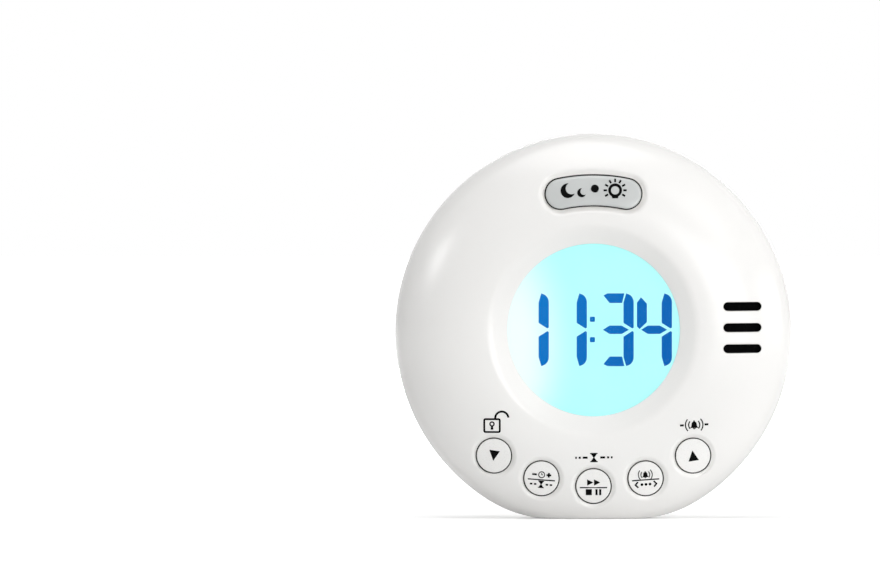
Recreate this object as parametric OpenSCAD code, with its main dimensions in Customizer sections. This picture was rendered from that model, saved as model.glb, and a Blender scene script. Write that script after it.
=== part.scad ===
// Round travel alarm clock with a vibration motor, a speaker and a lit round display.
// It stands on the flat of its casing and faces -Y. All sizes are in millimetres.

/* [Casing] */
// Diameter of the round casing
case_d = 98; // [97:0.5:102]
// Depth of the casing, front to back
case_depth = 30; // [29.5:0.5:33]
// Height of the casing's centre above the flat that it stands on
stand_h = 46; // [45.5:0.25:46.5]
// Radius of the corners between the flat and the round outline
base_corner_r = 30; // [26:1:34]
// Wall thickness of both casing halves
wall = 2; // [1.8:0.1:2.2]
// Radius of the rounded rim, seen from the side
rim_r = 10.5; // [10:0.25:11]
// Radius of the flat middle of the back
rear_flat_r = 28; // [27:0.25:28.5]
// Depth of the shadow line where the halves meet
seam_depth = 0.35; // [0.2:0.05:0.5]
// Width of the shadow line where the halves meet
seam_w = 0.5; // [0.3:0.1:0.7]
// Height of the rear half's tongue inside the front half
tongue_h = 2; // [1.5:0.25:2.5]
// Thickness of the tongue
tongue_t = 1; // [0.8:0.1:1.2]
// Gap between parts that are fitted together
fit_gap = 0.15; // [0.1:0.05:0.2]

/* [Display] */
// Height of the display's centre above the casing's centre
dish_y = 0.8; // [0:0.2:1]
// Radius of the dish round the window, at its sharp edge
dish_r = 25.6; // [25.2:0.1:26]
// Depth of the dish
dish_depth = 2.2; // [2:0.1:2.4]
// Radius that rounds the dish's edge
dish_edge_r = 4.5; // [3:0.5:5]
// Radius of the window that shows
window_r = 21.3; // [20.8:0.1:21.5]
// Thickness of the casing's lip round the window
window_lip = 1.2; // [1:0.1:1.4]
// Thickness of the window's flange
window_flange_t = 0.8; // [0.6:0.1:1]
// Width of the flange behind the lip
window_flange_w = 1.7; // [1.5:0.1:1.9]
// Thickness of the seal under the flange
seal_t = 0.2; // [0.15:0.05:0.3]
// Width and height of the display cell's rear glass
lcd_w = 43; // [43:0.1:43.4]
// Height of the contact ledge below the rear glass
lcd_ledge = 2.4; // [2.2:0.1:2.6]
// Thickness of each of the two glasses
lcd_glass_t = 1.1; // [1:0.1:1.2]
// Thickness of the films on the cell and behind the light guide
film_t = 0.2; // [0.15:0.05:0.25]
// Thickness of the light guide
guide_t = 3; // [2.6:0.2:3.2]
// Wall of the frame that holds the display
holder_wall = 1.3; // [1.1:0.1:1.5]
// Thickness of the frame's floor
holder_floor = 1; // [0.8:0.1:1.2]
// Height of the frame's floor above the board
holder_foot = 1; // [0.9:0.1:1.2]

/* [Buttons] */
// Radius of the round buttons
key_r = 4.2; // [4:0.1:4.3]
// Gap round each button
key_gap = 0.22; // [0.15:0.01:0.25]
// Height of the buttons above the casing
key_proud = 0.25; // [0.2:0.05:0.35]
// How far a button goes in
key_travel = 0.6; // [0.4:0.1:0.7]
// Radius of the arc that the round buttons lie on
key_arc_r = 43.9; // [43.5:0.1:44.1]
// Height of that arc's centre above the casing's centre
key_arc_y = 6.2; // [6:0.1:6.5]
// Angle between neighbouring round buttons
key_pitch = 17; // [16.5:0.25:17.25]
// Width of the recess round each button
moat_w = 0.9; // [0.7:0.1:1]
// Depth of the recess round each button
moat_depth = 0.35; // [0.25:0.05:0.45]
// Radius of the arc that the snooze button follows
snooze_arc_r = 39.4; // [39:0.1:39.8]
// Height of that arc's centre above the casing's centre
snooze_arc_y = -4.2; // [-4.6:0.1:-4]
// Half the angle between the ends of the snooze button
snooze_half_angle = 11.9; // [11.5:0.1:12.6]
// Half the width of the snooze button
snooze_half_w = 3.65; // [3.4:0.05:3.8]

/* [Switches] */
// Side of a square switch
switch_w = 6; // [5.6:0.1:6.2]
// Height of a switch's housing
switch_h = 3.4; // [3.2:0.1:3.6]
// Height of the plunger's tip above the board
plunger_top = 5; // [4.8:0.1:5.2]
// Radius of the plunger
plunger_r = 1.75; // [1.6:0.05:1.8]

/* [Speaker] */
// Distance of the speaker from the casing's centre
speaker_x = 34.6; // [34.2:0.1:34.8]
// Height of the speaker above the casing's centre
speaker_y = 1.4; // [1:0.2:2]
// Radius of the speaker
speaker_r = 8.8; // [8.4:0.1:8.9]
// Distance of the slots' middle from the casing's centre
slot_x = 36.7; // [36.2:0.1:37]
// Length of a slot
slot_l = 9.4; // [8.6:0.2:9.8]
// Width of a slot
slot_w = 2.2; // [1.8:0.1:2.6]
// Distance between the slots
slot_pitch = 5.2; // [4.8:0.1:5.4]

/* [Vibration motor] */
// Diameter of the motor's can
can_d = 15.4; // [15:0.1:15.8]
// Distance between the flats of the can
can_flat = 12; // [11.6:0.1:12]
// Length of the can
can_l = 18; // [16:0.5:20]
// Wall of the can
can_wall = 0.6; // [0.5:0.1:0.8]
// Diameter of the motor's shaft
shaft_d = 2; // [1.8:0.1:2.2]
// Gap between the shaft and its bearings
bearing_gap = 0.05; // [0.02:0.01:0.08]
// Radius of the eccentric weight
weight_r = 6; // [5.4:0.1:6]
// Length of the eccentric weight
weight_l = 7; // [5:0.5:8]
// Height of the motor's axis above the casing's centre
motor_y = 19.4; // [19:0.2:20]

/* [Batteries] */
// Diameter of an AAA cell
cell_d = 10.5; // [10.3:0.1:10.5]
// Length of an AAA cell over its nub
cell_l = 44.5; // [44:0.1:44.6]
// Distance between the two cells' axes
cell_pitch = 11.2; // [11:0.1:11.6]
// Height of the battery bay's middle above the casing's centre
bay_y = -6; // [-6.4:0.2:-5.6]
// Length of a compressed contact spring
spring_l = 5.5; // [5:0.25:5.75]
// Number of turns of a contact spring
spring_turns = 4; // [3:1:4]
// Wire of a contact spring
spring_wire = 0.6; // [0.5:0.05:0.65]
// Thickness of the battery door
door_t = 1.6; // [1.4:0.1:1.7]
// Gap round the battery door
door_gap = 0.2; // [0.15:0.05:0.3]

/* [Board and screws] */
// Radius of the circuit board
board_r = 43; // [42.6:0.1:43.2]
// Thickness of the circuit board
board_t = 1.6; // [1.2:0.2:1.6]
// Distance of the casing's screws from its centre
case_screw_r = 38.2; // [38:0.1:38.4]
// Diameter of the casing's screws
case_screw_d = 2.2; // [2:0.1:2.4]
// Diameter of the small screws that hold the board and the motor
small_screw_d = 2; // [1.8:0.1:2]

/* [Hidden] */

$fn = 96;
far = 200;            // longer than anything here
case_r = case_d / 2;
half = case_depth / 2;
rim_x = case_r - rim_r;

// Width of the rounding on each side of the dish's edge
dish_angle = atan2(dish_depth, dish_r - window_r);
dish_blend = dish_edge_r * tan(dish_angle / 2);
// The front is flat as far as the dish needs, then curves down to the rim
crown_r = dish_r + dish_blend + dish_y + 0.1;

// Heights above the middle plane, from the window down to the board
dish_z = half - dish_depth;
lip_z = dish_z - window_lip;
flange_z = lip_z - seal_t;
window_back_z = flange_z - window_flange_t;
window_gap = 0.2;
film_z = window_back_z - window_gap;
glass_z = film_z - film_t;
ledge_z = glass_z - lcd_glass_t;
glass_back_z = ledge_z - lcd_glass_t;
guide_z = glass_back_z - film_t;
reflector_z = guide_z - guide_t;
holder_floor_z = reflector_z - film_t;
board_z = holder_floor_z - holder_floor - holder_foot;
board_back_z = board_z - board_t;

// The display's frame, round the two glasses
flange_r = window_r + window_flange_w;
lcd_front_h = lcd_w + lcd_ledge;
holder_in_w = lcd_w + 2 * fit_gap;
holder_w = holder_in_w + 2 * holder_wall;
holder_top = dish_y + holder_w / 2;
holder_bottom = dish_y - holder_w / 2 - lcd_ledge;

// Buttons and switches
key_z = board_z + plunger_top;
key_ear_t = 0.8;
key_ear_w = 4;
key_ear_out = 1;
key_tube_t = 1;
key_tube_z = key_z + key_ear_t + 0.1;
snooze_y = snooze_arc_y + snooze_arc_r;
snooze_body_z = key_z + 2;
switch_cover_t = 0.3;
switch_hole_gap = 0.1;
plunger_flange_w = 0.55;
plunger_flange_t = 0.6;

// Speaker
speaker_seat_z = board_z + 4.4;
speaker_seat_w = 0.9;
cloth_t = 0.4;
speaker_front_z = speaker_seat_z - cloth_t;
basket_t = 0.5;
basket_h = 3.4;
basket_r = 5.6;
yoke_t = 0.8;
magnet_r = 5;
magnet_h = 2;
speaker_ring_t = 1;

// Battery bay, from the door inward
cell_r = cell_d / 2;
door_z = -half + door_t;
cell_z = door_z + 0.3 + cell_r;
bay_z = cell_z + cell_r + fit_gap;
bay_floor_t = 1.2;
bay_wall = 1.2;
plate_t = 0.4;
dimple_h = 0.6;
bay_l = cell_l + spring_l + dimple_h + 2 * plate_t;
bay_w = cell_pitch + cell_d + 4 * fit_gap;
door_ledge = 1;
door_l = bay_l + 2 * door_ledge;
door_w = bay_w + 2 * door_ledge;
door_top = bay_y + door_w / 2;
hinge_y = door_top - door_t / 2;
hinge_z = -half + door_t / 2;
hinge_pin_r = 0.45;
hinge_pin_l = 1;
hinge_pin_gap = 0.05;
notch_r = 5;
notch_depth = 1;
grip_from = 2;
grip_pitch = 1.4;
grip_w = 0.7;
grip_l = 12;
grip_depth = 0.4;

// Vibration motor
can_r = can_d / 2;
shaft_r = shaft_d / 2;
pad_t = 0.7;
motor_z = -half + wall + pad_t + can_flat / 2;
can_x = -16;
cap_t = 1.6;
nose_l = 1.2;
nose_r = 2.5;
weight_gap = 1.2;
weight_x = can_x + can_l + nose_l + weight_gap;
shaft_end_x = weight_x + weight_l + 1.2;
hub_r = 2.6;
armature_r = 5;
armature_l = can_l - 6;
magnet_t = 1.4;
clamp_t = 0.8;
clamp_gap = 0.03;
clamp_w = 8;
clamp_x = can_x + can_l / 2 - clamp_w / 2;
clamp_foot = 2.3;
clamp_ear = 5.2;
clamp_screw_y = can_r + clamp_t + 2.5;

// Screws
case_screw_angles = [43, 137, -21.5, 201.5];
boss_r = 3;
boss_gap = 0.6;
post_r = 3.6;
case_head_r = 2.2;
case_head_h = 1.4;
case_head_z = -7;
case_screw_tip_z = 6;
screw_gap = 0.1;
board_posts = [[29.5, 14.5], [-29.5, 14.5], [29, -16], [-29, -16]];
board_post_r = 2.4;
small_head_r = 1.9;
small_head_h = 1.2;
small_screw_l = 4;

// Thin insulated leads. Their routes are chosen by hand, each measured in the casing's face
// frame from the piece that the lead leaves.
lead_r = 0.5;
lead_lift = lead_r + 0.1;

//---------------------------------------------------------------- frames and helpers

// Face frame: x to the right, y up and z out of the front, from the casing's centre
module face() {
    translate([0, 0, stand_h]) rotate([90, 0, 0]) children();
}

// z becomes x, x becomes y and y becomes z: for revolves and extrusions that lie along x
module along_x(x = 0, y = 0, z = 0) {
    translate([x, y, z]) rotate([90, 0, 90]) children();
}

module at_case_screws() {
    for (a = case_screw_angles) rotate(a) translate([case_screw_r, 0, 0]) children();
}

module at_board_posts() {
    for (p = board_posts) translate([p[0], p[1], 0]) children();
}

function key_pos(i) = [
    key_arc_r * sin(i * key_pitch),
    key_arc_y - key_arc_r * cos(i * key_pitch),
    0
];

module at_key(i) {
    translate(key_pos(i)) rotate(i * key_pitch) children();
}

module at_snooze() {
    translate([0, snooze_y, 0]) children();
}

module at_speaker() {
    translate([speaker_x, speaker_y, 0]) children();
}

module at_display() {
    translate([0, dish_y, 0]) children();
}

// A bar with corner at [x0, y0, z0], given by its two ends in each direction
module block(x0, x1, y0, y1, z0, z1) {
    translate([x0, y0, z0]) cube([x1 - x0, y1 - y0, z1 - z0]);
}

module disc(r, z0, z1) {
    translate([0, 0, z0]) cylinder(r = r, h = z1 - z0);
}

module ring(r_out, r_in, z0, z1) {
    difference() {
        disc(r_out, z0, z1);
        disc(r_in, z0 - 1, z1 + 1);
    }
}

// Curved slot along an arc about the snooze button's centre
module arc_slot(half_w, z0, z1) {
    translate([0, snooze_arc_y, 0]) {
        rotate(90 - snooze_half_angle)
            rotate_extrude(angle = 2 * snooze_half_angle)
                translate([snooze_arc_r - half_w, z0]) square([2 * half_w, z1 - z0]);
        for (side = [-1, 1])
            rotate(90 + side * snooze_half_angle)
                translate([snooze_arc_r, 0, 0]) disc(half_w, z0, z1);
    }
}

// Slot with round ends along x
module stadium(length, width, z0, z1) {
    reach = (length - width) / 2;
    for (side = [-1, 1]) translate([side * reach, 0, 0]) disc(width / 2, z0, z1);
    block(-reach, reach, -width / 2, width / 2, z0, z1);
}

//---------------------------------------------------------------- casing outline

// Half profile of the casing: flat out to flat_r, a crown arc, and a rim arc tangent to it
module half_profile(flat_r, inset) {
    run = rim_x - flat_r;
    crown = (run * run + half * half - rim_r * rim_r) / (2 * (half - rim_r));
    lift = half - crown;
    reach = norm([run, lift]);
    ray = [run / reach, -lift / reach] * far;
    square([flat_r, half - inset]);
    intersection() {
        translate([flat_r, lift]) circle(r = crown - inset);
        polygon([[flat_r, 0], [rim_x, 0], [rim_x + ray[0], ray[1]], [flat_r, ray[1]]]);
    }
    intersection() {
        translate([rim_x, 0]) circle(r = rim_r - inset);
        polygon([[rim_x, 0], [rim_x + far, 0], [rim_x + far, ray[1]], [rim_x + ray[0], ray[1]]]);
    }
}

// What the flat and its two round corners take off the round outline. The corners' arcs bulge
// a hair past the flat and the outline, so that each pair of surfaces crosses cleanly.
corner_bulge = 0.05;
module base_cut(inset) {
    corner_y = base_corner_r - stand_h;
    corner_x = sqrt(pow(case_r - base_corner_r, 2) - pow(corner_y, 2));
    ray = [corner_x, corner_y] / norm([corner_x, corner_y]) * far;
    block(-far, far, -far, -stand_h + inset, -far, far);
    for (side = [0, 1]) mirror([side, 0, 0]) translate([0, 0, -far]) linear_extrude(2 * far)
        difference() {
            polygon([[corner_x, corner_y], [corner_x + ray[0], corner_y + ray[1]],
                     [corner_x + ray[0], -2 * far], [corner_x, -2 * far]]);
            translate([corner_x, corner_y]) circle(r = base_corner_r + corner_bulge - inset);
        }
}

module front_body(inset) {
    difference() {
        rotate_extrude() half_profile(crown_r, inset);
        base_cut(inset);
    }
}

module rear_body(inset) {
    difference() {
        mirror([0, 0, 1]) rotate_extrude() half_profile(rear_flat_r, inset);
        base_cut(inset);
    }
}

//---------------------------------------------------------------- front half

// The dish round the window: a cone with a rounded edge
module dish_cut() {
    edge_x = dish_r - dish_blend * cos(dish_angle);
    edge_z = half - dish_blend * sin(dish_angle);
    at_display() rotate_extrude() {
        polygon([[0, dish_z], [window_r, dish_z], [edge_x, edge_z], [edge_x, far], [0, far]]);
        difference() {
            translate([edge_x, edge_z]) square([dish_r + dish_blend - edge_x, far]);
            translate([dish_r + dish_blend, half - dish_edge_r]) circle(r = dish_edge_r);
        }
    }
}

// Round recess that follows the casing's curve round a button
module recess_cut() {
    difference() {
        children();
        front_body(moat_depth);
    }
}

module front_inner_parts() {
    at_case_screws() disc(boss_r, 0, half);
    at_board_posts() disc(board_post_r, board_z, half);
    for (i = [-2 : 2]) at_key(i) disc(key_r + key_gap + key_tube_t, key_tube_z, half);
    at_speaker() ring(speaker_r + fit_gap + speaker_ring_t, speaker_r - speaker_seat_w,
                      speaker_front_z - 0.8, half);
}

module front_case() {
    color([0.96, 0.96, 0.95]) face() difference() {
        union() {
            difference() {
                front_body(0);
                translate([0, 0, -1]) front_body(wall);
                front_body(wall);
            }
            intersection() {
                front_inner_parts();
                front_body(wall / 2);
            }
            at_display() disc(dish_r, film_z, lip_z + wall / 2);
        }
        dish_cut();
        at_display() {
            disc(window_r, film_z - 1, half);
            disc(flange_r + fit_gap, film_z - 1, lip_z);
        }
        for (i = [-2 : 2]) {
            at_key(i) disc(key_r + key_gap, key_z - key_travel - 0.3, half + 1);
            recess_cut() at_key(i) disc(key_r + key_gap + moat_w, board_z, half + 1);
        }
        arc_slot(snooze_half_w + key_gap, board_z, half + 1);
        recess_cut() arc_slot(snooze_half_w + key_gap + moat_w, board_z, half + 1);
        for (row = [-1 : 1])
            translate([slot_x, speaker_y + row * slot_pitch, 0])
                stadium(slot_l, slot_w, speaker_seat_z + 0.2, half + 1);
        at_speaker() disc(speaker_r + fit_gap, 0, speaker_seat_z);
        at_case_screws() disc(case_screw_d / 2 + screw_gap / 2, -1, case_screw_tip_z + 0.5);
        at_board_posts() disc(small_screw_d / 2 + screw_gap / 2, 0, board_z + small_screw_l + 0.5);
        ring(far, case_r - seam_depth, -1, seam_w / 2);
    }
}

//---------------------------------------------------------------- rear half

// Room that the battery door needs: its seat, and holes for the pins that it hinges on
module door_cut() {
    reach = door_l / 2 + hinge_pin_l + door_gap;
    block(-door_l / 2 - door_gap, door_l / 2 + door_gap,
          bay_y - door_w / 2 - door_gap, door_top + door_gap, -half - 1, door_z);
    along_x(0, hinge_y, hinge_z) disc(hinge_pin_r + hinge_pin_gap, -reach, reach);
    // Finger notch below the door
    translate([0, bay_y - door_w / 2, -half]) difference() {
        disc(notch_r, -1, notch_depth);
        block(-far, far, 0, far, -far, far);
    }
}

// Tongue that the front half closes over, and its root inside the rear wall. It stops short
// of the flat that the casing stands on.
tongue_stop_y = -stand_h + wall + 3.5;
module tongue() {
    inset = wall + fit_gap;
    difference() {
        union() {
            rotate_extrude() intersection() {
                difference() {
                    half_profile(crown_r, inset);
                    half_profile(crown_r, inset + tongue_t);
                }
                square([case_r, tongue_h]);
            }
            mirror([0, 0, 1]) rotate_extrude() intersection() {
                difference() {
                    half_profile(rear_flat_r, wall / 2);
                    half_profile(rear_flat_r, inset + tongue_t);
                }
                square([case_r, tongue_h]);
            }
        }
        block(-far, far, -far, tongue_stop_y, -far, far);
    }
}

module bay_box() {
    block(-bay_l / 2 - bay_wall, bay_l / 2 + bay_wall,
          bay_y - bay_w / 2 - bay_wall, bay_y + bay_w / 2 + bay_wall,
          -half + wall / 2, bay_z + bay_floor_t);
}

module bay_room() {
    block(-bay_l / 2, bay_l / 2, bay_y - bay_w / 2, bay_y + bay_w / 2, door_z - 1, bay_z);
}

// Low saddles that stop the motor from sliding along its axis
module motor_stops() {
    stop_t = 1.2;
    for (x = [can_x - cap_t - fit_gap - stop_t, can_x + can_l + fit_gap])
        block(x, x + stop_t, motor_y - can_r * 0.75, motor_y + can_r * 0.75,
              -half + wall / 2, motor_z - nose_r - 0.5);
}

module rear_case() {
    color([0.95, 0.95, 0.94]) face() difference() {
        union() {
            difference() {
                rear_body(0);
                translate([0, 0, 1]) rear_body(wall);
                rear_body(wall);
            }
            tongue();
            intersection() {
                at_case_screws() disc(post_r, -half, 0);
                rear_body(wall / 2);
            }
            bay_box();
            for (side = [-1, 1])
                translate([clamp_x + clamp_w / 2, motor_y + side * clamp_screw_y, 0])
                    disc(clamp_foot, -half + wall / 2, motor_z + clamp_foot);
            motor_stops();
        }
        door_cut();
        bay_room();
        // Slots through the bay's floor for the contacts' solder tabs
        for (side = [-1, 1])
            block(-bay_l / 2, -bay_l / 2 + plate_t + fit_gap,
                  bay_y + side * cell_pitch / 2 - 1.2, bay_y + side * cell_pitch / 2 + 1.2,
                  bay_z - 1, bay_z + bay_floor_t + 1);
        at_case_screws() {
            disc(case_screw_d / 2 + screw_gap, -half, 1);
            disc(case_head_r + screw_gap * 2, -half - 1, case_head_z);
        }
        for (side = [-1, 1])
            translate([clamp_x + clamp_w / 2, motor_y + side * clamp_screw_y, 0])
                disc(small_screw_d / 2 + screw_gap / 2, motor_z + clamp_foot - small_screw_l - 0.5,
                     motor_z + clamp_foot + 1);
        ring(far, case_r - seam_depth, -seam_w / 2, 1);
    }
}

module battery_door() {
    color([0.95, 0.95, 0.94]) face() difference() {
        union() {
            intersection() {
                block(-door_l / 2, door_l / 2, bay_y - door_w / 2, hinge_y, -half - 1, door_z);
                rear_body(0);
            }
            along_x(0, hinge_y, hinge_z) {
                disc(door_t / 2, -door_l / 2, door_l / 2);
                disc(hinge_pin_r, -door_l / 2 - hinge_pin_l, door_l / 2 + hinge_pin_l);
            }
        }
        // Grip grooves over the latch
        for (i = [0 : 3]) translate([0, bay_y - door_w / 2 + grip_from + i * grip_pitch, 0])
            block(-grip_l / 2, grip_l / 2, 0, grip_w, -half - 1, -half + grip_depth);
    }
}

//---------------------------------------------------------------- display

module display_window() {
    color([0.69, 0.98, 0.98, 0.6]) face() at_display() {
        disc(window_r - fit_gap, flange_z, dish_z - 0.05);
        disc(flange_r, window_back_z, flange_z);
    }
}

module window_seal() {
    color([0.15, 0.15, 0.16]) face() at_display()
        ring(flange_r, window_r + 0.2, flange_z, lip_z);
}

module display_plate(h, z0, z1, trim = 0) {
    block(-lcd_w / 2 + trim, lcd_w / 2 - trim, lcd_w / 2 - h + trim, lcd_w / 2 - trim, z0, z1);
}

module lcd_cell() {
    color([0.75, 0.92, 0.92]) face() at_display() {
        display_plate(lcd_front_h, ledge_z, glass_z);
        display_plate(lcd_w, glass_back_z, ledge_z);
    }
}

module front_film() {
    color([0.72, 0.96, 0.95]) face() at_display() display_plate(lcd_w, glass_z, film_z, 0.3);
}

module diffuser_film() {
    color([0.85, 0.98, 0.98]) face() at_display() display_plate(lcd_w, guide_z, glass_back_z, 0.3);
}

module light_guide() {
    color([0.7, 0.99, 0.98, 0.8]) face() at_display()
        display_plate(lcd_w, reflector_z, guide_z, 0.1);
}

// Openings under the light guide for the lamps on the board
led_x = 11;
led_y = -15;
led_l = 3.2;
led_w = 2.8;
led_h = 1.7;
module led_windows(z0, z1) {
    for (side = [-1, 1]) translate([side * led_x, led_y, 0])
        block(-led_l / 2 - 0.4, led_l / 2 + 0.4, -led_w / 2 - 0.4, led_w / 2 + 0.4, z0, z1);
}

module reflector_sheet() {
    color([0.98, 0.98, 0.98]) face() at_display() difference() {
        display_plate(lcd_w, holder_floor_z, reflector_z, 0.1);
        led_windows(holder_floor_z - 1, reflector_z + 1);
    }
}

module backlight_leds() {
    color([0.9, 0.95, 0.85]) face() at_display()
        for (side = [-1, 1]) translate([side * led_x, led_y, 0]) {
            block(-led_l / 2, led_l / 2, -led_w / 2, led_w / 2, board_z, board_z + led_h - 0.3);
            disc(1.1, board_z + led_h - 0.3, board_z + led_h);
        }
}

peg_r = 0.6;
peg_x = (holder_in_w + holder_wall) / 2;
peg_y = 15;
peg_out = 0.8;
module holder_pegs(r, z0, z1) {
    for (sx = [-1, 1], sy = [-1, 1]) translate([sx * peg_x, sy * peg_y, 0]) disc(r, z0, z1);
}

module lcd_holder() {
    color([0.93, 0.93, 0.9]) face() at_display() {
        difference() {
            block(-holder_w / 2, holder_w / 2, -holder_w / 2 - lcd_ledge, holder_w / 2,
                  board_z, glass_z);
            // Pocket for the glasses, with the light guide and its films behind them
            block(-holder_in_w / 2, holder_in_w / 2, -holder_in_w / 2 - lcd_ledge,
                  holder_in_w / 2, ledge_z, glass_z + 1);
            block(-holder_in_w / 2, holder_in_w / 2, -holder_in_w / 2, holder_in_w / 2,
                  holder_floor_z, ledge_z + 1);
            // Room under the floor, and the slot for the contact strip
            block(-holder_in_w / 2, holder_in_w / 2, -holder_in_w / 2, holder_in_w / 2,
                  board_z - 1, board_z + holder_foot);
            block(-zebra_l / 2 - fit_gap, zebra_l / 2 + fit_gap,
                  -lcd_w / 2 - lcd_ledge, -lcd_w / 2 - lcd_ledge + zebra_t + fit_gap,
                  board_z - 1, ledge_z + 1);
            led_windows(board_z - 1, holder_floor_z + 1);
        }
        holder_pegs(peg_r, board_back_z - peg_out, board_z);
        holder_pegs(peg_r + 0.5, board_back_z - peg_out, board_back_z);
    }
}

zebra_l = 38;
zebra_t = 1.6;
module zebra_strip() {
    color([0.35, 0.4, 0.45]) face() at_display()
        block(-zebra_l / 2, zebra_l / 2, -lcd_w / 2 - lcd_ledge + 0.1,
              -lcd_w / 2 - lcd_ledge + 0.1 + zebra_t - fit_gap, board_z, ledge_z);
}

//---------------------------------------------------------------- circuit board

board_flat_gap = 2;
module main_board() {
    color([0.1, 0.4, 0.2]) face() difference() {
        disc(board_r, board_back_z, board_z);
        block(-far, far, -far, -stand_h + wall + board_flat_gap, board_back_z - 1, board_z + 1);
        at_case_screws() {
            disc(boss_r + boss_gap, board_back_z - 1, board_z + 1);
            block(0, far, -boss_r - boss_gap, boss_r + boss_gap, board_back_z - 1, board_z + 1);
        }
        at_speaker() {
            disc(speaker_r + 1.2, board_back_z - 1, board_z + 1);
            block(0, far, -speaker_r - 1.2, speaker_r + 1.2, board_back_z - 1, board_z + 1);
        }
        at_board_posts() disc(small_screw_d / 2 + screw_gap, board_back_z - 1, board_z + 1);
        at_display() holder_pegs(peg_r + 0.05, board_back_z - 1, board_z + 1);
    }
}

// Pan-head screw pointing along +z, with a cross recess in its head
module pan_screw(d, length, head_r, head_h) {
    slot = d * 0.22;
    difference() {
        union() {
            disc(d / 2, -0.1, length - d / 2);
            translate([0, 0, length - d / 2]) cylinder(r1 = d / 2, r2 = d / 8, h = d / 2);
            translate([0, 0, -head_h]) rotate_extrude() intersection() {
                square([head_r, head_h]);
                translate([0, head_r * 1.25]) circle(r = head_r * 1.25);
            }
        }
        for (a = [0, 90]) rotate(a)
            block(-head_r * 0.6, head_r * 0.6, -slot / 2, slot / 2, -head_h - 1, -head_h * 0.45);
    }
}

module case_screws() {
    color([0.75, 0.75, 0.77]) face() at_case_screws() translate([0, 0, case_head_z])
        pan_screw(case_screw_d, case_screw_tip_z - case_head_z, case_head_r, case_head_h);
}

module board_screws() {
    color([0.75, 0.75, 0.77]) face() at_board_posts() translate([0, 0, board_back_z])
        pan_screw(small_screw_d, board_t + small_screw_l, small_head_r, small_head_h);
}

// Domed drop of epoxy over the controller
blob_r = 4.5;
blob_h = 1.1;
module controller_blob() {
    dome_r = (blob_r * blob_r + blob_h * blob_h) / (2 * blob_h);
    color([0.08, 0.08, 0.09]) face() translate([0, -5, board_back_z]) mirror([0, 0, 1])
        rotate_extrude() intersection() {
            translate([0, blob_h - dome_r]) circle(r = dome_r, $fn = 240);
            square([blob_r + 1, blob_h + 1]);
        }
}

crystal_x = -33;
crystal_y = 2;
crystal_r = 1;
crystal_l = 6;
crystal_pin_l = 1.5;
crystal_pin_r = 0.2;
module crystal() {
    color([0.8, 0.8, 0.82]) face() translate([crystal_x, crystal_y, board_back_z - crystal_r])
        rotate([-90, 0, 0]) {
            cylinder(r = crystal_r, h = crystal_l);
            for (side = [-1, 1]) translate([side * crystal_r / 2, 0, -crystal_pin_l])
                cylinder(r = crystal_pin_r, h = crystal_pin_l);
        }
}

cap_can_r = 2.5;
cap_can_h = 6;
cap_x = -8.5;
cap_y = -27;
cap_pitch = 7;
cap_groove_z = 0.7;
cap_groove_w = 0.5;
cap_groove_depth = 0.25;
cap_vent_l = 3.2;
cap_vent_w = 0.3;
cap_vent_depth = 0.2;
module capacitors() {
    groove_top = board_back_z - cap_groove_z;
    end_z = board_back_z - cap_can_h;
    color([0.15, 0.2, 0.4]) face() for (side = [-1, 1])
        translate([cap_x + side * cap_pitch / 2, cap_y, 0]) difference() {
            disc(cap_can_r, end_z, board_back_z);
            ring(cap_can_r + 1, cap_can_r - cap_groove_depth, groove_top - cap_groove_w, groove_top);
            for (a = [0, 90]) rotate(a)
                block(-cap_vent_l / 2, cap_vent_l / 2, -cap_vent_w / 2, cap_vent_w / 2,
                      end_z - 1, end_z + cap_vent_depth);
        }
}

// Motor driver and small surface-mounted parts on the back of the board
driver_x = 11;
driver_y = -27;
driver_l = 5;
driver_w = 4;
driver_h = 1.5;
driver_foot = 0.1;
driver_pin_pitch = 1.27;
driver_pin_w = 0.4;
driver_pin_l = 1.2;
driver_pin_t = 0.25;
driver_pin_in = 0.15;
chips_x = -24;
chips_y = -22;
chip_l = 1.6;
chip_w = 0.8;
chip_h = 0.5;
chip_pitch_x = 3.2;
chip_pitch_y = 2.2;
module chip_parts() {
    color([0.1, 0.1, 0.11]) face() {
        translate([driver_x, driver_y, 0]) {
            block(-driver_l / 2, driver_l / 2, -driver_w / 2, driver_w / 2,
                  board_back_z - driver_h, board_back_z - driver_foot);
            for (side = [-1, 1], i = [-1.5 : 1.5])
                translate([i * driver_pin_pitch,
                           side * (driver_w / 2 + driver_pin_l / 2 - driver_pin_in), 0])
                    block(-driver_pin_w / 2, driver_pin_w / 2, -driver_pin_l / 2,
                          driver_pin_l / 2, board_back_z - driver_pin_t, board_back_z);
        }
        for (i = [0 : 4], j = [0 : 1])
            translate([chips_x + j * chip_pitch_x, chips_y - i * chip_pitch_y, 0])
                block(-chip_l / 2, chip_l / 2, -chip_w / 2, chip_w / 2,
                      board_back_z - chip_h, board_back_z);
    }
}

//---------------------------------------------------------------- switches and buttons

module switch_outline(inset) {
    corner = 0.6;
    side = switch_w / 2 - inset;
    polygon([[side, side - corner], [side - corner, side], [corner - side, side],
             [-side, side - corner], [-side, corner - side], [corner - side, -side],
             [side - corner, -side], [side, corner - side]]);
}

module switch_housing() {
    translate([0, 0, board_z]) difference() {
        linear_extrude(switch_h) switch_outline(0);
        disc(plunger_r + plunger_flange_w + switch_hole_gap, 1.2, switch_h + 1);
    }
}

module switch_cover() {
    translate([0, 0, board_z + switch_h]) difference() {
        linear_extrude(switch_cover_t) switch_outline(0.1);
        disc(plunger_r + switch_hole_gap, -1, 1);
    }
}

module plunger() {
    flange_top = board_z + switch_h - 0.1;
    disc(plunger_r, flange_top - plunger_flange_t, key_z);
    disc(plunger_r + plunger_flange_w, flange_top - plunger_flange_t, flange_top);
}

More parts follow.
